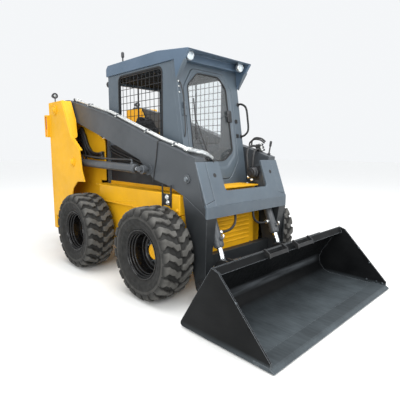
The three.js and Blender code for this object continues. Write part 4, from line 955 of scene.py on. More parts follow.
# Corners of the door leaf and of its glass, as (across, up the slope); both have eight.
leafCorners = [(-0.250, 0.075), (0.180, 0.075), (0.324, 0.255), (0.324, 0.975), (0.215, 1.139), (-0.225, 1.139),
               (-0.354, 0.955), (-0.354, 0.215)]
glassCorners = [(-0.235, 0.258), (0.120, 0.258), (0.262, 0.350), (0.248, 1.005), (0.150, 1.108), (-0.150, 1.108),
                (-0.293, 0.975), (-0.300, 0.330)]
frameCorners = [(-0.30, -0.02), (0.25, -0.02), (0.43, -0.02), (0.43, 1.21), (0.25, 1.21), (-0.25, 1.21),
                (-0.43, 1.21), (-0.43, -0.02)]


# A closed ring of several outlines, each at its own depth, on the sloping front.
def slopeRing(rows):
    points = onPlane(np.stack([atDepth(outline, depth) for outline, depth in rows]), "slope")
    return gridShape(points, closedRows=True, closedColumns=True)


# The sloping frame round the doorway, cut level with the cab's floor and ceiling.
def frontFrame():
    outer = roundedOutline(frameCorners, 0.001, 6)
    opening = shrunk(roundedOutline(leafCorners, cab["leafRound"], 6), -0.005)
    points, faces = slopeRing([(outer, -0.045), (outer, 0.0), (shrunk(opening, -0.004), 0.0), (opening, -0.004),
                               (opening, -0.045)])
    points[:, 2] = np.clip(points[:, 2], cab["floor"], cab["ceiling"])
    return points, faces


# The leaf: a raised band round its edge steps down to a recessed field with the glass in it.
def doorLeaf():
    edge = roundedOutline(leafCorners, cab["leafRound"], 6)
    hole = roundedOutline(glassCorners, cab["glassRound"], 6)
    between = lambda t: edge * (1 - t) + hole * t
    return slopeRing([(edge, -0.030), (edge, -0.004), (shrunk(edge, 0.004), 0.001), (between(0.50), 0.001),
                      (between(0.56), -0.001), (between(0.66), -0.0095), (between(0.70), -0.011),
                      (between(0.96), -0.011), (hole, -0.013), (hole, -0.030)])


# A round knuckle on the hinge line, with a leaf plate screwed to the door or to the frame.
def hingeHalf(low, leafTo):
    start, end = onPlane([(-0.375, low, 0.014), (-0.375, low + 0.060, 0.014)], "slope")
    a, b = sorted((-0.375, leafTo))
    strap = plate(roundRect(a, b, low, low + 0.060, 0.004), 0.001, 0.007, "slope", 0.001)
    screws = [bolt(onPlane([((a + b) / 2 + (0.004 if leafTo > -0.375 else -0.006), low + s, 0.007)], "slope")[0],
                   planes["slope"][2], 0.009) for s in (0.016, 0.044)]
    return joined(roundBar(start, end, 0.010, 20), strap, *screws)


def onSlope(*points):
    return onPlane(points, "slope")


def makeDoor():
    makePiece("cab_door_leaf", "door", slate, doorLeaf(), ["cab_door"], smooth=28)
    hole = roundedOutline(glassCorners, cab["glassRound"], 6)
    pane = plate(shrunk(hole, 0.0015), -0.0225, -0.0165, "slope", 0.001)
    makePiece("door_pane", "door", glass, pane, ["cab_door_glass"])
    bead = slopeRing([(shrunk(hole, -0.006), -0.0105), (shrunk(hole, -0.005), -0.0075), (shrunk(hole, 0.004), -0.0085),
                      (shrunk(hole, 0.006), -0.0125), (shrunk(hole, 0.006), -0.0162), (shrunk(hole, 0.0005), -0.0162)])
    makePiece("door_bead", "door", seal, bead, smooth=50)
    makePiece("door_hinge_leaves", "door", slate, joined(hingeHalf(0.229, -0.329), hingeHalf(0.749, -0.329)))
    makePiece("door_hinge_posts", "chassis", slate, joined(hingeHalf(0.164, -0.405), hingeHalf(0.684, -0.405)))
    lock = plate(roundRect(0.222, 0.286, 0.655, 0.775, 0.010), -0.011, 0.006, "slope", 0.003)
    lever = carried(smoothPath(onSlope((0.268, 0.742, 0.004), (0.262, 0.740, 0.015), (0.240, 0.730, 0.017),
                                       (0.200, 0.712, 0.016), (0.182, 0.704, 0.014)), 20), circle(0.0065, 10))
    makePiece("door_lock", "door", plastic, joined(lock, lever), smooth=50)
    latches = [plate(roundRect(0.332, 0.366, s - 0.020, s + 0.020, 0.006), 0.0005, 0.012, "slope", 0.003)
               for s in (0.666, 0.514)]
    makePiece("door_latches", "chassis", black, joined(*latches))
    out = planes["slope"][2]
    feet = onSlope((0.189, 0.170, -0.0105), (-0.20, 0.165, -0.0105), (0.0, 0.160, -0.0105))
    makePiece("door_bolts", "door", steel, bolts(feet, out, 0.013))
    blade = carried(smoothPath(onSlope((-0.236, 0.470, -0.010), (-0.234, 0.650, -0.009), (-0.230, 0.860, -0.010)), 24),
                    [(0.002, -0.006), (0.002, 0.006), (-0.002, 0.006), (-0.002, -0.006)])
    sweep = hose(onSlope((-0.105, 0.285, 0.001), (-0.150, 0.400, 0.004), (-0.205, 0.560, 0.003),
                         (-0.232, 0.665, -0.004)), 0.0045, 30, 8)
    motor = turned([(0, 0), (0.026, 0), (0.026, 0.014), (0.020, 0.018), (0, 0.018)],
                   onSlope((-0.105, 0.285, -0.016))[0], out, 28)
    makePiece("door_wiper", "door", plastic, joined(blade, sweep, motor), smooth=45)


# Needled felt under the roof: dark slate and quite without shine.
roofFelt = (moulded("needledFelt", "#1e2225", "#282c30", 0.9, 5, 0.3, Specular_IOR_Level=0.1), "dark_vinyl")


def makeCabShell():
    for side in ("left", "right"):
        dressed("cab_side_" + side, slate, 0.004)
    dressed("cab_rear_panel", slate, 0.002)
    dressed("cab_roof", skyLitRoofPaint, 0.007, 20)
    makePiece("cab_front_frame_pressed", "chassis", slate, frontFrame(), ["cab_front_frame"], smooth=28)
    # Rubber seal in the gap round the door.
    loop = onPlane(atDepth(shrunk(roundedOutline(leafCorners, cab["leafRound"], 6), -0.0025), -0.010), "slope")
    makePiece("door_seal", "chassis", seal, carried(loop, circle(0.0022, 8), closed=True), smooth=60)
    # Felt lining under the roof.
    lining = block((cab["rear"] + 0.026, 0.500), (-0.395, 0.395), (2.078, 2.128), 0.010)
    makePiece("cab_lining", "chassis", roofFelt, lining)
    # A broad pressed strip down the front of each fin, rounded at its head beside the lamp.
    low, high = np.array((0.5770, 1.957)), np.array((0.7390, 2.1850))
    rows = []
    for t, w in ((0, 0.010), (0.08, 0.020), (0.28, 0.034), (0.50, 0.042), (0.60, 0.040), (0.66, 0.032), (0.69, 0.020)):
        x, z = low + (high - low) * t
        rows.append([(x + d * 0.815, y, z - d * 0.58) for y, d in ((-0.4450, 0.0), (-0.4450, 0.006), (-0.4400, 0.009),
                     (-0.4450 + w, 0.009), (-0.4450 + w + 0.003, 0.006), (-0.4450 + w + 0.003, 0.0))])
    makePiece("fin_strips", "chassis", slate, bothSides(gridShape(np.array(rows), closedColumns=True, caps=True)))
    caps = [roundBar(onPlane([(-0.412, s, 0)], "slope")[0], onPlane([(-0.412, s, 0.004)], "slope")[0], 0.008, 14)
            for s in (0.996, 0.950, 0.895)]
    makePiece("pillar_caps", "chassis", zinc, joined(*caps))
    # Charcoal skirt that closes the space between the cab's rear corners and the tower plates: painted shade where the
    # gap is dark.
    skirts = [plate([(-0.672, 0.926), (-0.6215, 0.926), (-0.6215, 1.470), (-0.672, 1.470)],
                    *sorted((way * 0.4302, way * 0.4392)), "side", 0.001) for _, way in sides]
    makePiece("cab_corner_shade_skirts", "chassis", charcoal, joined(*skirts))
    # Yellow plate that carries the fender's top back to the tower.
    tails = block((-0.700, -0.6155), (-0.588, -0.4545), (0.913, 0.925), 0.003)
    makePiece("fender_tails", "chassis", yellow, bothSides(tails))
    # A black plate over the cab's slate rear panel: painted shade on the panel below the window.
    rear = block((cab["rear"] - 0.002, cab["rear"]), (-0.35, 0.35), (1.02, 1.44), 0.0005)
    makePiece("rear_panel_shade_plate", "chassis", black, rear)


# Welded wire screens: round wires both ways inside a flat border, with one strong upright.
screen = {"wire": 0.0034, "pitch": 0.072, "x": (-0.3997, 0.3604), "z": (1.3803, 2.0997)}


def wireScreen(way):
    (x0, x1), (z0, z1) = screen["x"], screen["z"]
    y = way * 0.421
    columns = np.linspace(x0, x1, round((x1 - x0) / screen["pitch"]) + 1)[1:-1]
    rows = np.linspace(z0, z1, round((z1 - z0) / screen["pitch"]) + 1)[1:-1]
    upright = roundBar((0, y, z0 + 0.004), (0, y, z1 - 0.004), screen["wire"], 6)
    level = roundBar((x0 + 0.004, y + way * 0.003, 0), (x1 - 0.004, y + way * 0.003, 0), screen["wire"], 6)
    outer = roundRect(x0 + 0.0005, x1 - 0.0005, z0 + 0.0005, z1 - 0.0005, 0.058, 7)
    inner = roundRect(x0 + 0.016, x1 - 0.016, z0 + 0.016, z1 - 0.016, 0.046, 7)
    depth = sorted((y - way * 0.004, y + way * 0.006))
    post = block((-0.066, -0.050), sorted((y - way * 0.014, y - way * 0.004)), (z0 + 0.004, z1 - 0.004), 0.002)
    return joined(repeated(upright, [(x, 0, 0) for x in columns]), repeated(level, [(0, 0, z) for z in rows]),
                  ring(outer, inner, *depth, ease=0.001), post)


def makeScreens():
    for side, way in sides:
        makePiece("wire_screen_" + side, "chassis", black, wireScreen(way), ["cab_screen_" + side], smooth=60)
        (x0, x1), (z0, z1) = screen["x"], screen["z"]
        depth = sorted((way * 0.4303, way * 0.4335))
        trim = ring(roundRect(x0 - 0.010, x1 + 0.010, z0 - 0.010, z1 + 0.010, 0.070, 7),
                    roundRect(x0 + 0.004, x1 - 0.004, z0 + 0.004, z1 - 0.004, 0.056, 7), *depth, ease=0.001)
        makePiece("screen_trim_" + side, "chassis", seal, trim)


# Front work lamps: a zinc bowl and a fluted glass, both turned about x.
def makeFrontLamps():
    for side in ("left", "right"):
        low, high = cadBox("front_lamp_" + side)
        centre = (low + high) / 2 - (middle, 0, 0)
        foot = (low[0] - middle + 0.036, centre[1] - 0.012, centre[2] + 0.006)
        shell = [(0, 0.0005), (0.028, 0.0005), (0.041, 0.008), (0.0465, 0.024), (0.0465, 0.040), (0.044, 0.0445),
                 (0.0420, 0.038), (0, 0.036)]
        makePiece("front_lamp_case_" + side, "chassis", zinc, turned(shell, foot, (1, 0, 0), 36),
                  ["front_lamp_" + side])
        face = [(0, 0.0470), (0.018, 0.0464), (0.034, 0.0445), (0.0419, 0.0415), (0.0419, 0.0385), (0, 0.0385)]
        makePiece("front_lamp_lens_" + side, "chassis", lens, turned(face, foot, (1, 0, 0), 36))


def makeRoofDetails():
    low, high = cadBox("roof_beacon")
    x, y = (low[0] + high[0]) / 2 - middle, (low[1] + high[1]) / 2
    body = [(0, 0), (0.028, 0), (0.028, 0.005), (0.020, 0.011), (0.010, 0.016), (0.008, 0.040), (0.008, 0.092),
            (0.015, 0.099), (0.017, 0.106), (0.017, 0.142), (0.013, 0.154), (0.005, 0.1600), (0, 0.1600)]
    makePiece("roof_beacon_turned", "chassis", plastic, turned(body, (x, y, low[2]), (0, 0, 1), 28), ["roof_beacon"],
              smooth=40)
    dressed("grab_handle", black, 0, 60)
    # Small work lamps under the roof's tail, facing back.
    bowl = [(0, 0), (0.012, 0), (0.018, 0.006), (0.034, 0.026), (0.036, 0.040), (0.033, 0.046), (0.030, 0.041),
            (0, 0.040)]
    glassFace = [(0, 0.0445), (0.020, 0.0440), (0.0298, 0.0425), (0.0298, 0.0412), (0, 0.0412)]
    for side, way in sides:
        at = (cab["rear"] - 0.012, way * 0.388, 2.058)
        arm = block((cab["rear"] - 0.012, cab["rear"] - 0.0005), sorted((at[1] - 0.014, at[1] + 0.014)),
                    (2.044, 2.072), 0.003)
        makePiece("cab_rear_lamp_" + side, "chassis", plastic, joined(turned(bowl, at, (-1, 0, 0), 28), arm))
        makePiece("cab_rear_lens_" + side, "chassis", lens, turned(glassFace, at, (-1, 0, 0), 28))
    grips = [turned([(0, 0), (0.021, 0), (0.021, 0.004), (0.012, 0.009), (0, 0.009)], onSlope((0.412, s, 0.0004))[0],
                    planes["slope"][2], 20) for s in (0.850, 0.510)]
    makePiece("handle_feet", "chassis", black, joined(*grips))
    # Cable that loops down the hinge side from a grommet to a grommet.
    line = hose(onSlope((-0.400, 0.996, 0.004), (-0.396, 0.940, 0.020), (-0.392, 0.832, 0.026), (-0.398, 0.640, 0.022),
                        (-0.402, 0.540, 0.018), (-0.406, 0.485, 0.004)), 0.0055, 50, 8)
    makePiece("hinge_cable", "chassis", hoseSkin, line, smooth=60)


# Seat base and lap bar, and on each side a console with its lever and a ribbed pedal.
def makeInside():
    dressed("seat_base", black, 0.012)
    dressed("lap_bar", black, 0, 60)
    for side, way in sides:
        y = way * 0.3447
        low, high = cadBox("control_" + side)
        low[0] -= middle
        high[0] -= middle
        console = block((low[0], high[0]), (low[1], high[1]), (low[2], 1.300), 0.014)
        boot = [(0, 0), (0.034, 0), (0.034, 0.008), (0.026, 0.012), (0.028, 0.020), (0.020, 0.024), (0.022, 0.032),
                (0.014, 0.036), (0.008, 0.046), (0, 0.046)]
        knob = [(0, 0.060), (0.010, 0.060), (0.015, 0.075), (0.016, 0.100), (0.0185, 0.125), (0.021, 0.150),
                (0.019, 0.166), (0.011, 0.1745), (0, 0.1745)]
        foot = (0.200, y, 1.300)
        shaft = roundBar((0.200, y, 1.320), (0.200, y, 1.372), 0.0065, 12)
        pads = [roundBar((0.200 + 0.017, y + dy, 1.300 + 0.150), (0.200 + 0.024, y + dy, 1.300 + 0.153), 0.005, 10)
                for dy in (-0.007, 0.007)]
        makePiece("console_" + side, "chassis", plastic, console, ["control_" + side])
        makePiece("stick_" + side, "chassis", plastic, joined(turned(boot, foot, (0, 0, 1), 24),
                  turned(knob, foot, (0, 0, 1), 24), shaft, *pads), smooth=45)
        pedal = plate([(0.400, 0.790), (0.412, 0.782), (0.500, 0.880), (0.488, 0.890)], y * 0.55 - 0.055,
                      y * 0.55 + 0.055, "side", 0.002)
        ribs = repeated(roundBar((0, y * 0.55 - 0.050, 0), (0, y * 0.55 + 0.050, 0), 0.003, 8),
                        [(0.405 + 0.0145 * i, 0, 0.797 + 0.0165 * i) for i in range(6)])
        makePiece("pedal_" + side, "chassis", black, joined(pedal, ribs))


makeDoor()
makeCabShell()
makeScreens()
makeFrontLamps()
makeRoofDetails()
makeInside()
print("cab made")

# The front of the towers leans back; outlines on it are (across, up the face) from the bend of the front plate.
towerLean = math.atan(0.372)
planes["tower"] = ((0, 1, 0), (-math.sin(towerLean), 0, math.cos(towerLean)),
                   (math.cos(towerLean), 0, math.sin(towerLean)), (1.1185, 0, 0.849))
arms = {"inner": 0.4673, "outer": 0.5793, "faceInner": 0.309, "skin": 0.010}
armTop = [(-1.325, 1.927), (-0.393, 1.695), (0.485, 1.398), (0.685, 1.345), (0.979, 1.251)]


def armTopAt(x):
    return np.interp(x, [p[0] for p in armTop], [p[1] for p in armTop])


# The folded front plate: a U round the gap over the nose, and a lip below its bend.
def frontPlate():
    inner, outer, head = arms["faceInner"], arms["inner"] + 0.006, 0.392
    u = [(-outer, 0.0), (outer, 0.0), (outer, head), (inner, head), (inner, 0.150), (inner - 0.012, 0.128),
         (inner - 0.036, 0.118), (0.036 - inner, 0.118), (0.012 - inner, 0.128), (-inner, 0.150), (-inner, head),
         (-outer, head)]
    wide = arms["outer"] + 0.006
    low = plate([(-wide, -0.003), (wide, -0.003), (wide, 0.022), (outer, 0.050), (-outer, 0.050), (-wide, 0.022)],
                -0.020, arms["skin"] - 0.002, "tower", 0.003)
    lip = block((1.106, 1.126), (-wide, wide), (0.752, 0.850), 0.003)
    return joined(plate(u, -0.012, arms["skin"], "tower", 0.003), low, lip)


# The front plate, and each tower's face strip, hole and seam beside it. They take the cab's lighter slate enamel
# rather than the arms' charcoal: painted light on faces that lean back towards the sky.
def makeTowers():
    makePiece("front_plate_folded", "lift_arms", slate, frontPlate())
    dressed("arm_cross_plate", slate, 0.003)
    # Face strips down the front of each tower, outside the front plate.
    outline = [(arms["inner"] + 0.009, 0.052), (arms["outer"] + 0.005, 0.026), (arms["outer"] + 0.005, 0.392),
               (arms["inner"] + 0.009, 0.392)]
    makePiece("tower_faces", "lift_arms", slate,
              bothSides(plate(outline, -0.010, arms["skin"] - 0.004, "tower", 0.003)))
    # Each hole is a flat black disc: painted shade for the opening.
    holes = [turned([(0, 0.0014), (0.0180, 0.0014), (0.0190, 0.0004), (0.0170, -0.001), (0, -0.002)],
                    onPlane([(y, 0.268, arms["skin"])], "tower")[0], planes["tower"][2], 24) for y in (-0.400, 0.418)]
    makePiece("tower_hole_shade_discs", "lift_arms", seal, joined(*holes))
    seams = [hose(onPlane([(y, s, arms["skin"] - 0.003) for s in (0.055, 0.2, 0.392)], "tower"), 0.0030, 40, 8)
             for y in (-arms["inner"] - 0.0075, arms["inner"] + 0.0075)]
    makePiece("tower_seams", "lift_arms", slate, joined(*seams), smooth=60)


# The arms with their foot plates and weld beads, the tilt cylinders' bosses and a drain line.
def makeArms():
    for side in ("left", "right"):
        dressed("lift_arm_" + side, armPaint, 0.005)
    dressed("arm_cross_beam", armPaint, 0.006)
    face = -arms["outer"]
    foot = [(0.826, 0.930), (1.090, 0.785), (1.120, 0.752), (1.112, 0.190), (1.075, 0.122), (1.010, 0.128),
            (0.985, 0.230), (0.870, 0.690)]
    makePiece("arm_foot_plates", "lift_arms", armPaint,
              bothSides(plate(roundedOutline(foot, 0.03), face - 0.005, face, "side", 0.0015)))
    edge = [(x, face - 0.0004, armTopAt(x) - 0.010) for x in (-1.25, -0.9, -0.393, 0.05, 0.485, 0.685, 0.90)]
    makePiece("arm_weld_lines", "lift_arms", charcoal, bothSides(hose(edge, 0.0035, 90, 8)), smooth=60)
    # The tilt cylinder's boss, with its pin and a keeper bolt.
    x, z, r = 0.880, 1.070, 0.040
    boss = [(0, 0), (r, 0), (r, 0.010), (r * 0.9, 0.013), (r * 0.62, 0.013), (r * 0.60, 0.009), (0, 0.009)]
    head = [(0, 0.008), (r * 0.58, 0.008), (r * 0.58, 0.016), (r * 0.5, 0.019), (0, 0.019)]
    keeper = bolt((x + r * 0.30, face - 0.018, z - r * 0.1), (0, -1, 0), 0.013)
    makePiece("arm_bosses", "lift_arms", charcoal, bothSides(turned(boss, (x, face, z), (0, -1, 0), 32)))
    makePiece("arm_pin_heads", "lift_arms", steel,
              bothSides(joined(turned(head, (x, face, z), (0, -1, 0), 28), keeper)))
    # Thin drain line strapped over the right arm.
    drain = hose([(0.487, face + 0.030, 1.402), (0.485, face - 0.002, 1.398), (0.472, face - 0.005, 1.330),
                  (0.455, face - 0.005, 1.230), (0.425, face - 0.005, 1.110), (0.405, face - 0.006, 1.018)], 0.0045,
                 50, 8)
    makePiece("arm_drain_line", "lift_arms", hoseSkin, drain, smooth=60)


# Two bright pipes along the right arm, with clamps; they end in fittings, and black hoses go on behind the tower.
pipework = {"radius": 0.0122, "aside": 0.018, "above": 0.022, "clamps": (-0.87, -0.27, 0.25, 0.67)}


def makePipes():
    y0 = -(arms["inner"] + arms["outer"]) / 2
    xs = (-1.18, -1.023, -0.70, -0.393, -0.05, 0.20, 0.485, 0.685, 0.830)
    pipes, fits = [], []
    for way in (-1, 1):
        y = y0 + way * pipework["aside"]
        points = [(x, y, armTopAt(x) + pipework["above"]) for x in xs]
        pipes.append(hose(points, pipework["radius"], 110, 14))
        start = np.array([0.812, y, armTopAt(0.812) + pipework["above"]])
        fits.append(fitting(start, (0.96, 0, -0.28), 0.0155, 0.048))
    makePiece("arm_pipes", "lift_arms", zinc, joined(*pipes), ["arm_tubes"], smooth=60)
    makePiece("pipe_fittings", "lift_arms", zinc, joined(*fits), smooth=32)
    # Saddle clamps: a strap arched over both pipes, screwed down between and beside them.
    clamps, screws = [], []
    across = np.linspace(-0.046, 0.046, 47)
    arch = np.sqrt(np.maximum(0.0146**2 - (np.abs(across) - 0.018) ** 2, 0))
    rise = np.where(arch > 0, 0.022 + arch, 0.006)
    for x in pipework["clamps"]:
        slope = math.atan((armTopAt(x + 0.02) - armTopAt(x - 0.02)) / 0.04)
        along, up = np.array((math.cos(slope), 0, math.sin(slope))), np.array((-math.sin(slope), 0, math.cos(slope)))
        foot = np.array((x, y0, armTopAt(x)))
        rows = [foot + along * a + across[:, None] * (0, 1, 0) + (rise + h)[:, None] * up
                for a, h in ((-0.011, -0.002), (0.011, -0.002), (0.011, 0.001), (-0.011, 0.001))]
        clamps.append(gridShape(np.stack(rows), closedRows=True))
        screws += [bolt(foot + (0, dy, 0) + up * 0.006, up, 0.011) for dy in (-0.041, 0, 0.041)]
    makePiece("pipe_clamps", "lift_arms", charcoal, joined(*clamps))
    makePiece("clamp_screws", "lift_arms", zinc, joined(*screws))
    # Armoured sleeves carry the lines round the tower's head, and black hoses go on down behind it.
    sleeves = (
        ((0.846, y0 - 0.018, 1.316), (0.915, -0.530, 1.305), (0.965, -0.480, 1.290), (0.985, -0.420, 1.268),
         (0.987, -0.388, 1.246)),
        ((0.846, y0 + 0.018, 1.316), (0.900, -0.492, 1.312), (0.938, -0.450, 1.300), (0.952, -0.408, 1.280),
         (0.955, -0.380, 1.256)),
    )
    downs = (((0.987, -0.388, 1.246), (0.984, -0.372, 1.215), (0.972, -0.364, 1.150), (0.950, -0.362, 1.040)),
             ((0.955, -0.380, 1.256), (0.953, -0.366, 1.225), (0.944, -0.360, 1.160), (0.922, -0.362, 1.050)))
    armour = []
    for sleeve in sleeves:
        path = smoothPath(sleeve, 34)
        armour.append(hose(sleeve, 0.0150, 60, 16))
        armour += [roundBar(a, a + (b - a) * 0.55, 0.0185, 18) for a, b in zip(path[:-1:2], path[1::2])]
    makePiece("pipe_sleeves", "lift_arms", braid, joined(*armour), smooth=40)
    makePiece("tower_hoses_right", "lift_arms", hoseSkin, joined(*[hose(down, 0.0120, 40) for down in downs]),
              smooth=60)
    # At the arm's rear end the pipes turn down into hoses that go to the chassis side.
    beside = (-pipework["aside"], pipework["aside"])
    rear = [hose([(-1.175, y0 + d, armTopAt(-1.18) + pipework["above"]), (-1.235, y0 + d, armTopAt(-1.235) + 0.024),
                  (-1.300, y0 + d * 0.8 + 0.02, 1.938), (-1.335, y0 + d * 0.5 + 0.05, 1.900)], 0.0115, 40)
            for d in beside]
    makePiece("rear_pipe_hoses", "lift_arms", hoseSkin, joined(*rear), smooth=60)
    ends = [fitting((-1.205, y0 + d, armTopAt(-1.205) + 0.0225), (0.972, 0, -0.236), 0.0140, 0.048) for d in beside]
    makePiece("rear_pipe_fittings", "lift_arms", zinc, joined(*ends), smooth=32)


# Attachment couplings on the left arm: a manifold with three capped quick couplings, and the hoses that feed it.
def makeCouplings():
    low, high = cadBox("aux_coupler")
    low[0] -= middle
    high[0] -= middle
    cx, cy = (low[0] + high[0]) / 2, (low[1] + high[1]) / 2
    stand = plate([(low[0], low[2] + 0.020), (high[0], low[2] + 0.002), (high[0] - 0.006, low[2] + 0.030),
                   (low[0] + 0.004, low[2] + 0.036)], low[1], high[1], "side", 0.003)
    tower = block((cx - 0.020, cx + 0.020), (cy - 0.022, cy + 0.022), (low[2] + 0.020, high[2] - 0.012), 0.004)
    makePiece("coupling_stand", "lift_arms", black, joined(stand, tower), ["aux_coupler"])
    couplings, caps = [], []
    heights = (high[2] - 0.004, high[2] - 0.032, high[2] - 0.060)
    for z, dx in zip(heights, (0.004, 0.016, 0.028)):
        body = [(0, 0), (0.0105, 0), (0.0105, 0.012), (0.0125, 0.014), (0.0125, 0.030), (0.0095, 0.033),
                (0.0095, 0.046), (0, 0.046)]
        cap = [(0, 0.040), (0.0120, 0.040), (0.0130, 0.046), (0.0130, 0.062), (0.0110, 0.066), (0, 0.066)]
        couplings.append(turned(body, (cx + dx, cy + 0.006, z - 0.010), (0, 1, 0), 20))
        caps.append(turned(cap, (cx + dx, cy + 0.006, z - 0.010), (0, 1, 0), 20))
    makePiece("quick_couplings", "lift_arms", zinc, joined(*couplings))
    makePiece("coupling_caps", "lift_arms", plastic, joined(*caps))
    lines = [hose([(0.800, cy - 0.020, 1.350), (0.815, cy - 0.090, 1.362), (0.822, cy - 0.180, 1.350),
                   (0.835, cy - 0.235, 1.290), (0.850, cy - 0.245, 1.200), (0.860, cy - 0.235, 1.080)], 0.0115, 60),
             hose([(0.825, cy - 0.020, 1.322), (0.850, cy - 0.080, 1.330), (0.868, cy - 0.150, 1.310),
                   (0.880, cy - 0.190, 1.250), (0.885, cy - 0.200, 1.150), (0.880, cy - 0.200, 1.050)], 0.0115, 60)]
    makePiece("tower_hoses_left", "lift_arms", hoseSkin, joined(*lines), smooth=60)
    # Two hoses arch over the arm's top to the couplings, beside the tall lever that locks them.
    arches = [hose([(0.700 + d, 0.500 + d, 1.348), (0.704 + d, 0.503 + d, 1.398 + d), (0.752, 0.518 + d, 1.432 + d),
                    (0.820, 0.534 + d, 1.424 + d), (0.864, 0.545 + d, 1.392 + d)], 0.0085, 50, 10) for d in (0, 0.016)]
    makePiece("coupling_arches", "lift_arms", hoseSkin, joined(*arches), smooth=60)
    lever = [(0, 0), (0.016, 0), (0.016, 0.012), (0.008, 0.020), (0.007, 0.080), (0.012, 0.090), (0.013, 0.128),
             (0.009, 0.142), (0, 0.144)]
    makePiece("coupling_lever", "lift_arms", plastic, turned(lever, (0.922, 0.548, 1.272), (0.10, 0.10, 1), 20),
              smooth=45)
    sockets = [fitting((0.860, cy - 0.235, 1.085), (0.05, 0.05, -1), 0.0125, 0.05),
               fitting((0.880, cy - 0.200, 1.055), (0, 0, -1), 0.0125, 0.05)]
    makePiece("hose_sockets_left", "lift_arms", zinc, joined(*sockets))
    # Round valve body on a bracket inside the left tower.
    valve = [(0, 0), (0.058, 0), (0.060, 0.006), (0.060, 0.040), (0.054, 0.046), (0.054, 0.070), (0.048, 0.078),
             (0.030, 0.080), (0.028, 0.088), (0, 0.088)]
    makePiece("tower_valve", "lift_arms", plastic, joined(turned(valve, (0.905, 0.345, 1.090), (0, -1, 0), 32),
              block((0.845, 0.965), (0.333, 0.3443), (1.020, 1.160), 0.003)), smooth=40)


makeTowers()
makeArms()
makePipes()
makeCouplings()
print("arms made")


# Barrels: a tube with a foot eye, a screwed gland and two ports; rods: a chromed bar with a forged eye.
cylinders = {"lift": {"radius": 0.043, "rod": 0.025, "gland": 1.190, "ports": (0.075, 1.120),
                      "eye": 0.042, "eyeHalf": 0.023, "pin": 0.0215, "neck": 1.9},
             "tilt": {"radius": 0.043, "rod": 0.024, "gland": 0.625, "ports": (0.075, 0.560),
                      "eye": 0.040, "eyeHalf": 0.021, "pin": 0.0195, "neck": 1.25}}
cylinderEnds = {"lift": ((-0.980, 0.6403, 1.165), (0.325, 0.6403, 1.130)),
                "tilt": ((0.880, 0.4173, 1.070), (1.1694, 0.4173, 0.3461))}


def makeCylinders():
    for kind, size in cylinders.items():
        foot, eye = (np.array(p) for p in cylinderEnds[kind])
        ahead = (eye - foot) / np.linalg.norm(eye - foot)
        r, gland = size["radius"], size["gland"]
        for side, way in sides:
            flip = (1, way, 1)
            start, along = foot * flip, ahead * flip
            up = np.cross((0, 1, 0), along)
            up *= np.sign(up[2]) if kind == "lift" else np.sign(up[0])
            body = f"{side}_{kind}_barrel"
            dressed(f"{kind}_barrel_{side}", charcoal, 0.002)
            bore = size["rod"] + 0.0008
            collar = [(bore, gland - 0.052), (r + 0.0005, gland - 0.052), (r + 0.0045, gland - 0.048),
                      (r + 0.0045, gland - 0.012), (r + 0.001, gland - 0.008), (r + 0.001, gland - 0.0005),
                      (bore + 0.010, gland + 0.004), (bore, gland + 0.004)]
            makePiece(f"{kind}_gland_{side}", body, charcoal, turnedLoop(collar, start, along, 36))
            wiper = [(size["rod"] + 0.0004, gland + 0.0035), (size["rod"] + 0.008, gland + 0.0035),
                     (size["rod"] + 0.006, gland + 0.008), (size["rod"] + 0.0004, gland + 0.009)]
            makePiece(f"{kind}_wiper_{side}", body, seal, turnedLoop(wiper, start, along, 36), smooth=60)
            ports = [turned([(0, -0.004), (0.016, -0.004), (0.016, 0.014), (0.013, 0.017), (0, 0.017)],
                            start + along * s + up * r, up, 20) for s in size["ports"]]
            bends = []
            for s, turn in zip(size["ports"], (1, -1)):
                a = start + along * s + up * (r + 0.015)
                bends.append(hose([a, a + up * 0.016, a + up * 0.024 + along * turn * 0.010,
                                   a + up * 0.026 + along * turn * 0.030], 0.0085, 24, 12))
            makePiece(f"{kind}_ports_{side}", body, charcoal, joined(*ports))
            makePiece(f"{kind}_elbows_{side}", body, charcoal if kind == "lift" else zinc, joined(*bends), smooth=50)
            if kind == "lift":  # a hose along the barrel joins both ends
                a = start + along * (size["ports"][0] + 0.02) + up * (r + 0.041)
                b = start + along * (size["ports"][1] - 0.02) + up * (r + 0.041)
                sag = up * -0.010
                makePiece(f"lift_pipe_{side}", body, hoseSkin,
                          hose([a, a * 0.67 + b * 0.33 + sag, a * 0.33 + b * 0.67 + sag, b], 0.0095, 50), smooth=60)
            # The rod: a chromed bar with a painted, forged eye and the pin through it.
            run = np.linalg.norm(eye - foot)
            rodBody, e = f"{side}_{kind}_rod", size["eye"]
            bar = turned([(0, gland - 0.080), (size["rod"], gland - 0.080), (size["rod"], run - e * 0.80),
                          (0, run - e * 0.80)], start, along, 32)
            makePiece(f"{kind}_rod_chromed_{side}", rodBody, chrome, bar, [f"{kind}_rod_{side}"])
            low, high = cadBox(f"{kind}_rod_{side}")
            outer = max(abs(low[1]), abs(high[1])) - 0.0005
            inner = min(abs(low[1]), abs(high[1])) + 0.0005
            centre = eye * flip
            half = size["eyeHalf"]
            wide = [(0.0, -half), (e * 0.86, -half), (e, -half + 0.005), (e, half - 0.005), (e * 0.86, half),
                    (0.0, half)]
            lowest = run - e * size["neck"]
            neck = turned([(0, lowest), (size["rod"] + 0.001, lowest), (size["rod"] + 0.004, lowest + e * 0.3),
                           (size["rod"] + 0.003, run - e * 0.6), (0, run - e * 0.6)], start, along, 32)
            makePiece(f"{kind}_eye_{side}", rodBody, charcoal, joined(turned(wide, centre, (0, 1, 0), 36), neck))
            pinR = size["pin"]
            pin = turned([(0, inner), (pinR - 0.002, inner), (pinR, inner + 0.002), (pinR, outer - 0.002),
                          (pinR - 0.003, outer), (0, outer)], (centre[0], 0, centre[2]), (0, way, 0), 28)
            makePiece(f"{kind}_eye_pin_{side}", rodBody, charcoal if kind == "lift" else steel, pin)


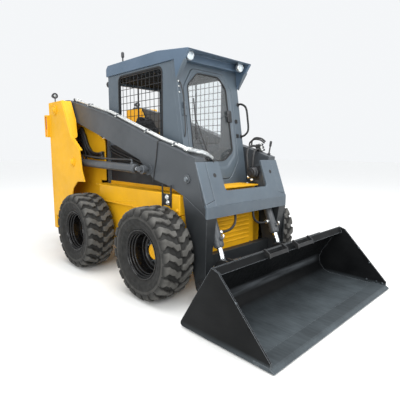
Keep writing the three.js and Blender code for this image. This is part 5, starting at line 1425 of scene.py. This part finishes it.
# Hoses from the tilt cylinders' lower ports up behind the front plate; they bend where barrel and arms turn apart.
def makeTiltHoses():
    for side, way in sides:
        y = way * 0.4173
        points = [(1.060, y - way * 0.046, 0.600), (1.062, y - way * 0.075, 0.604), (1.062, y - way * 0.135, 0.598),
                  (1.060, y - way * 0.215, 0.612), (1.055, y - way * 0.272, 0.655), (1.048, y - way * 0.285, 0.720),
                  (1.040, y - way * 0.280, 0.800)]
        line = makePiece(f"tilt_hose_{side}", None, hoseSkin, hose(points, 0.0115, 60), smooth=60)
        ends = np.array(points)
        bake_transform(line, f"{side}_tilt_barrel", "lift_arms", start=tuple(ends[1] + (middle, 0, 0)),
                 end=tuple(ends[4] + (middle, 0, 0)))
        a = np.array(points[0])
        nut = turned([(0, 0), (0.017, 0), (0.017, 0.020), (0, 0.020)], a + (0, way * 0.020, 0), (0, -way, 0), 6)
        elbow = joined(fitting(a - (0, -way * 0.012, 0), (0, -way, 0), 0.0125, 0.050), nut)
        makePiece(f"tilt_hose_end_{side}", f"{side}_tilt_barrel", zinc, elbow)


makeCylinders()
makeTiltHoses()
print("cylinders made")


# Coupler plate and bucket, with hooks on the top edge and rivets through the cheeks.
def makeBucket():
    dressed("bucket_coupler", black, 0.004)
    dressed("bucket_shell", scouredSheen, 0.003)
    dressed("cutting_edge", scouredSheen, 0.0015)
    half = cadBounds[1][1]
    hooks = []
    for y0, y1 in ((-0.385, -0.135), (0.030, 0.275)):  # an open frame of flat bar on the top edge
        front = plate([(1.610, 0.497), (1.622, 0.501), (1.613, 0.528), (1.601, 0.524)], y0, y1, "side", 0.002)
        ends = [plate([(1.548, 0.546), (1.600, 0.486), (1.622, 0.494), (1.612, 0.532), (1.560, 0.560)], y - 0.006,
                      y + 0.006, "side", 0.002) for y in (y0, y1)]
        hooks += [front, *ends]
    makePiece("bucket_hooks", "bucket", black, joined(*hooks))
    face = -half
    feet = [(1.853, 0.049), (1.948, 0.052), (2.001, 0.047), (1.868, 0.222), (1.755, 0.351)]
    heads = [turned([(0, 0), (0.010, 0), (0.009, 0.003), (0.005, 0.0045), (0, 0.0048)], (x, face + 0.0140, z),
                    (0, 1, 0), 16) for x, z in feet]
    makePiece("cheek_rivets", "bucket", steel, bothSides(joined(*heads)))
    shallow = [turned([(0, 0), (0.010, 0), (0.0085, 0.0022), (0.004, 0.0030), (0, 0.0030)], (x, face + 0.0030, z),
                      (0, -1, 0), 16) for x, z in feet]
    makePiece("cheek_rivets_outside", "bucket", steel, bothSides(joined(*shallow)))


makeBucket()
print("bucket made")

# Seat pads: rounded slabs that swell under pressure, then get sewn channels, a welt and stitches.
# Outline and wall are superellipses: |a/A|^n + |b/B|^n = 1 across, and the same between thickness and inset.
seat = {"around": 96, "rows": 18, "voxel": 0.006, "quickVoxel": 0.012, "pressure": 4.0, "frames": 20, "cap": 0.024,
        "channelDepth": 0.006, "channelWidth": 0.007, "stitch": 0.007, "thread": 0.0009, "welt": 0.0042, "fill": 0.7}


# A slab of half sizes A and B with rounded walls; its outline's half width B is scaled along a by taper(a/A).
def slab(A, B, half, corner, taper):
    turn = np.linspace(0, 2 * math.pi, seat["around"], endpoint=False)
    reach = (np.abs(np.cos(turn)) ** corner + np.abs(np.sin(turn)) ** corner) ** (-1 / corner)
    a, b = np.cos(turn) * reach, np.sin(turn) * reach
    tilt = np.linspace(-math.pi / 2, math.pi / 2, seat["rows"])[1:-1]
    inset = np.abs(np.cos(tilt)) ** 0.45
    height = np.sign(tilt) * np.abs(np.sin(tilt)) ** 0.8 * half
    points = np.empty((len(tilt), seat["around"], 3))
    points[..., 0] = A * a * inset[:, None]
    points[..., 1] = B * b * inset[:, None] * taper(a)
    points[..., 2] = height[:, None]
    return gridShape(points, closedColumns=True, caps=True)


# Remeshed evenly, blown up a little by the cloth solver, and held within a cap of where it began.
def swollen(name, shape, holdTo):
    points, faces = shape
    mesh = bpy.data.meshes.new(name)
    mesh.from_pydata((holdTo(points) + (middle, 0, 0)).tolist(), [], faces)
    pad = bpy.data.objects.new(name, mesh)
    scene.collection.objects.link(pad)
    finishMesh(mesh, 80)
    remesh = pad.modifiers.new("evenMesh", "REMESH")
    remesh.mode = "VOXEL"
    remesh.voxel_size = seat["voxel"]
    even = bpy.data.meshes.new_from_object(pad.evaluated_get(bpy.context.evaluated_depsgraph_get()))
    pad.modifiers.clear()
    pad.data = even
    start = np.empty(len(even.vertices) * 3)
    even.vertices.foreach_get("co", start)
    start = start.reshape(-1, 3)
    moved = start.copy()
    cloth = pad.modifiers.new("swell", "CLOTH")
    cloth.settings.use_pressure = True
    cloth.settings.uniform_pressure_force = seat["pressure"]
    cloth.settings.effector_weights.gravity = 0
    cloth.point_cache.frame_start = 1
    cloth.point_cache.frame_end = seat["frames"]
    for step in range(1, seat["frames"] + 1):
        scene.frame_set(step)
    blown = pad.evaluated_get(bpy.context.evaluated_depsgraph_get()).data
    blown.vertices.foreach_get("co", flat := np.empty(len(start) * 3))
    moved = flat.reshape(-1, 3)
    pad.modifiers.clear()
    scene.frame_set(1)
    shift = moved - start
    far = np.linalg.norm(shift, axis=1, keepdims=True)
    moved = start + shift * np.minimum(1, seat["cap"] / np.maximum(far, 1e-9))
    print(name, "swelled by up to", round(float(min(far.max(), seat["cap"])) * 1000, 1), "mm")
    return pad, moved - (middle, 0, 0)


# Pulls the surface in along sewn channels: depth times a bell curve of the distance to the nearest channel.
def sewn(pad, points, inward, distance):
    pull = seat["channelDepth"] * np.exp(-(distance / seat["channelWidth"]) ** 2)
    points = points + inward * pull[:, None]
    pad.data.vertices.foreach_set("co", (points + (middle, 0, 0)).ravel())
    pad.data.update()
    return points


def finishPad(pad, node):
    pad.data.materials.clear()
    pad.data.materials.append(vinyl[0])
    pad.data.shade_smooth()
    subdivide = pad.modifiers.new("softer", "SUBSURF")
    subdivide.levels = subdivide.render_levels = 1
    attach(pad, "chassis")
    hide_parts(node)


# Where straight lines meet the pad's surface from outside: one point for each start.
def onSurface(pad, starts, direction, lift=0.0):
    tree = BVHTree.FromObject(pad, bpy.context.evaluated_depsgraph_get())
    way = Vector(direction).normalized()
    found = []
    for start in starts:
        hit = tree.ray_cast(Vector(start) + Vector((middle, 0, 0)), way, 1.0)
        if hit[0] is not None:
            found.append(np.array(hit[0]) - (middle, 0, 0) - np.array(way) * lift)
    return np.array(found)


# Stitches: short threads that follow the line of points, each half sunk in the vinyl.
def stitches(line):
    lengths = np.concatenate([[0], np.cumsum(np.linalg.norm(np.diff(line, axis=0), axis=1))])
    stops = np.arange(0.010, lengths[-1] - 0.010, seat["stitch"])
    at = lambda s: np.stack([np.interp(s, lengths, line[:, k]) for k in range(3)], axis=-1)
    return [roundBar(a, b, seat["thread"], 5, 0.4) for a, b in zip(at(stops), at(stops + seat["stitch"] * 0.62))]


def makeSeat():
    # Cushion: flat below, with rolls beside the thighs and a front edge that rolls down.
    def cushionHold(p):
        x, y, z = p.T
        roll = 0.010 * smoothStep((np.abs(y) - 0.130) / 0.060) * (z > 0)
        front = -0.020 * smoothStep((x - 0.120) / 0.120) * (z > 0)
        return np.stack([x - 0.220, y, z + 1.2275 + roll + front], axis=1)

    pad, points = swollen("seat_cushion_pad", slab(0.222, 0.216, 0.036, 5.5, lambda a: 1 - 0.05 * smoothStep(a)),
                          cushionHold)
    points[:, 2] = np.maximum(points[:, 2], 1.1808)
    points[:, 0] = np.clip(points[:, 0], -0.459, 0.026)
    points[:, 1] = np.clip(points[:, 1], -0.238, 0.238)
    x, y, z = points.T
    top = z > 1.222
    far = np.minimum(np.abs(np.abs(y) - 0.140),
                     np.where(np.abs(y) < 0.140, np.min(np.abs(x[:, None] - (-0.330, -0.200, -0.070)), axis=1), 1))
    sewn(pad, points, np.where(top[:, None], (0, 0, -1.0), (0, 0, 0)), np.where(top, far, 1))
    finishPad(pad, "seat_cushion")
    threads = []
    for y0 in (-0.1465, -0.1335, 0.1335, 0.1465):
        threads += stitches(onSurface(pad, [(x0, y0, 1.5) for x0 in np.linspace(-0.42, 0.0, 60)], (0, 0, -1)))
    for x0 in (-0.330, -0.200, -0.070):
        starts = [(x0 + 0.0065, y0, 1.5) for y0 in np.linspace(-0.125, 0.125, 40)]
        threads += stitches(onSurface(pad, starts, (0, 0, -1)))
    turn = np.linspace(0, 2 * math.pi, 160, endpoint=False)
    ray = [np.array((-0.220 + 0.5 * math.cos(t), 0.5 * math.sin(t), 1.226)) for t in turn]
    loop = [onSurface(pad, [start], (-math.cos(t), -math.sin(t), 0), 0.001) for start, t in zip(ray, turn)]
    welts = [carried(np.concatenate([p for p in loop if len(p)]), circle(seat["welt"], 8), closed=True)]

    # Back: leans with the seat, is narrower at its rounded head, and has bolsters beside the spine.
    tilt = math.atan(0.040 / 0.4597)
    up, ahead = np.array((-math.sin(tilt), 0, math.cos(tilt))), np.array((math.cos(tilt), 0, math.sin(tilt)))
    base = np.array((-0.510, 0, 1.5105))

    def backHold(p):
        beside, below = smoothStep((np.abs(p[:, 1]) - 0.110) / 0.060), smoothStep((0.12 - p[:, 0]) / 0.06)
        bolster = 0.010 * beside * (p[:, 2] > 0) * below
        return base + p[:, :1] * up + p[:, 1:2] * (0, 1, 0) + (p[:, 2:] + bolster[:, None]) * ahead

    pad, points = swollen("seat_back_pad",
                          slab(0.214, 0.214, 0.034, 4.5, lambda a: 1 - 0.34 * smoothStep((a - 0.15) / 0.75)), backHold)
    points[:, 2] = np.clip(points[:, 2], 1.2870, 1.7440)
    local = points - base
    a, out = local @ up, local @ ahead
    points += np.minimum(0.049 - out, 0)[:, None] * ahead - np.minimum(0.049 + out, 0)[:, None] * ahead
    front = out > 0.004
    b = np.abs(points[:, 1])
    far = np.minimum(np.where(a < 0.10, np.abs(b - 0.125), 1),
                     np.where(b < 0.125, np.min(np.abs(a[:, None] - (-0.110, 0.0, 0.100)), axis=1), 1))
    sewn(pad, points, np.where(front[:, None], -ahead, (0, 0, 0)), np.where(front, far, 1))
    finishPad(pad, "seat_back")
    for y0 in (-0.1315, -0.1185, 0.1185, 0.1315):
        starts = [base + up * s + (0, y0, 0) + ahead * 0.3 for s in np.linspace(-0.19, 0.095, 40)]
        threads += stitches(onSurface(pad, starts, -ahead))
    for s in (-0.110, 0.0, 0.100):
        starts = [base + up * (s + 0.0065) + (0, y0, 0) + ahead * 0.3 for y0 in np.linspace(-0.112, 0.112, 36)]
        threads += stitches(onSurface(pad, starts, -ahead))
    loop = []
    for t in turn:
        way = math.cos(t) * up + math.sin(t) * np.array((0, 1, 0))
        loop.append(onSurface(pad, [base + way * 0.5], -way, 0.001))
    welts.append(carried(np.concatenate([p for p in loop if len(p)]), circle(seat["welt"], 8), closed=True))
    makePiece("seat_welts", "chassis", vinyl, joined(*welts), smooth=60)
    makePiece("seat_stitches", "chassis", thread, joined(*threads), smooth=60)


# Bonded polyester thread: dull grey dashes.
thread = (moulded("polyesterThread", "#4b4c4e", "#5a5b5d", 0.7, 2), "dark_vinyl")
makeSeat()
print("seat made")
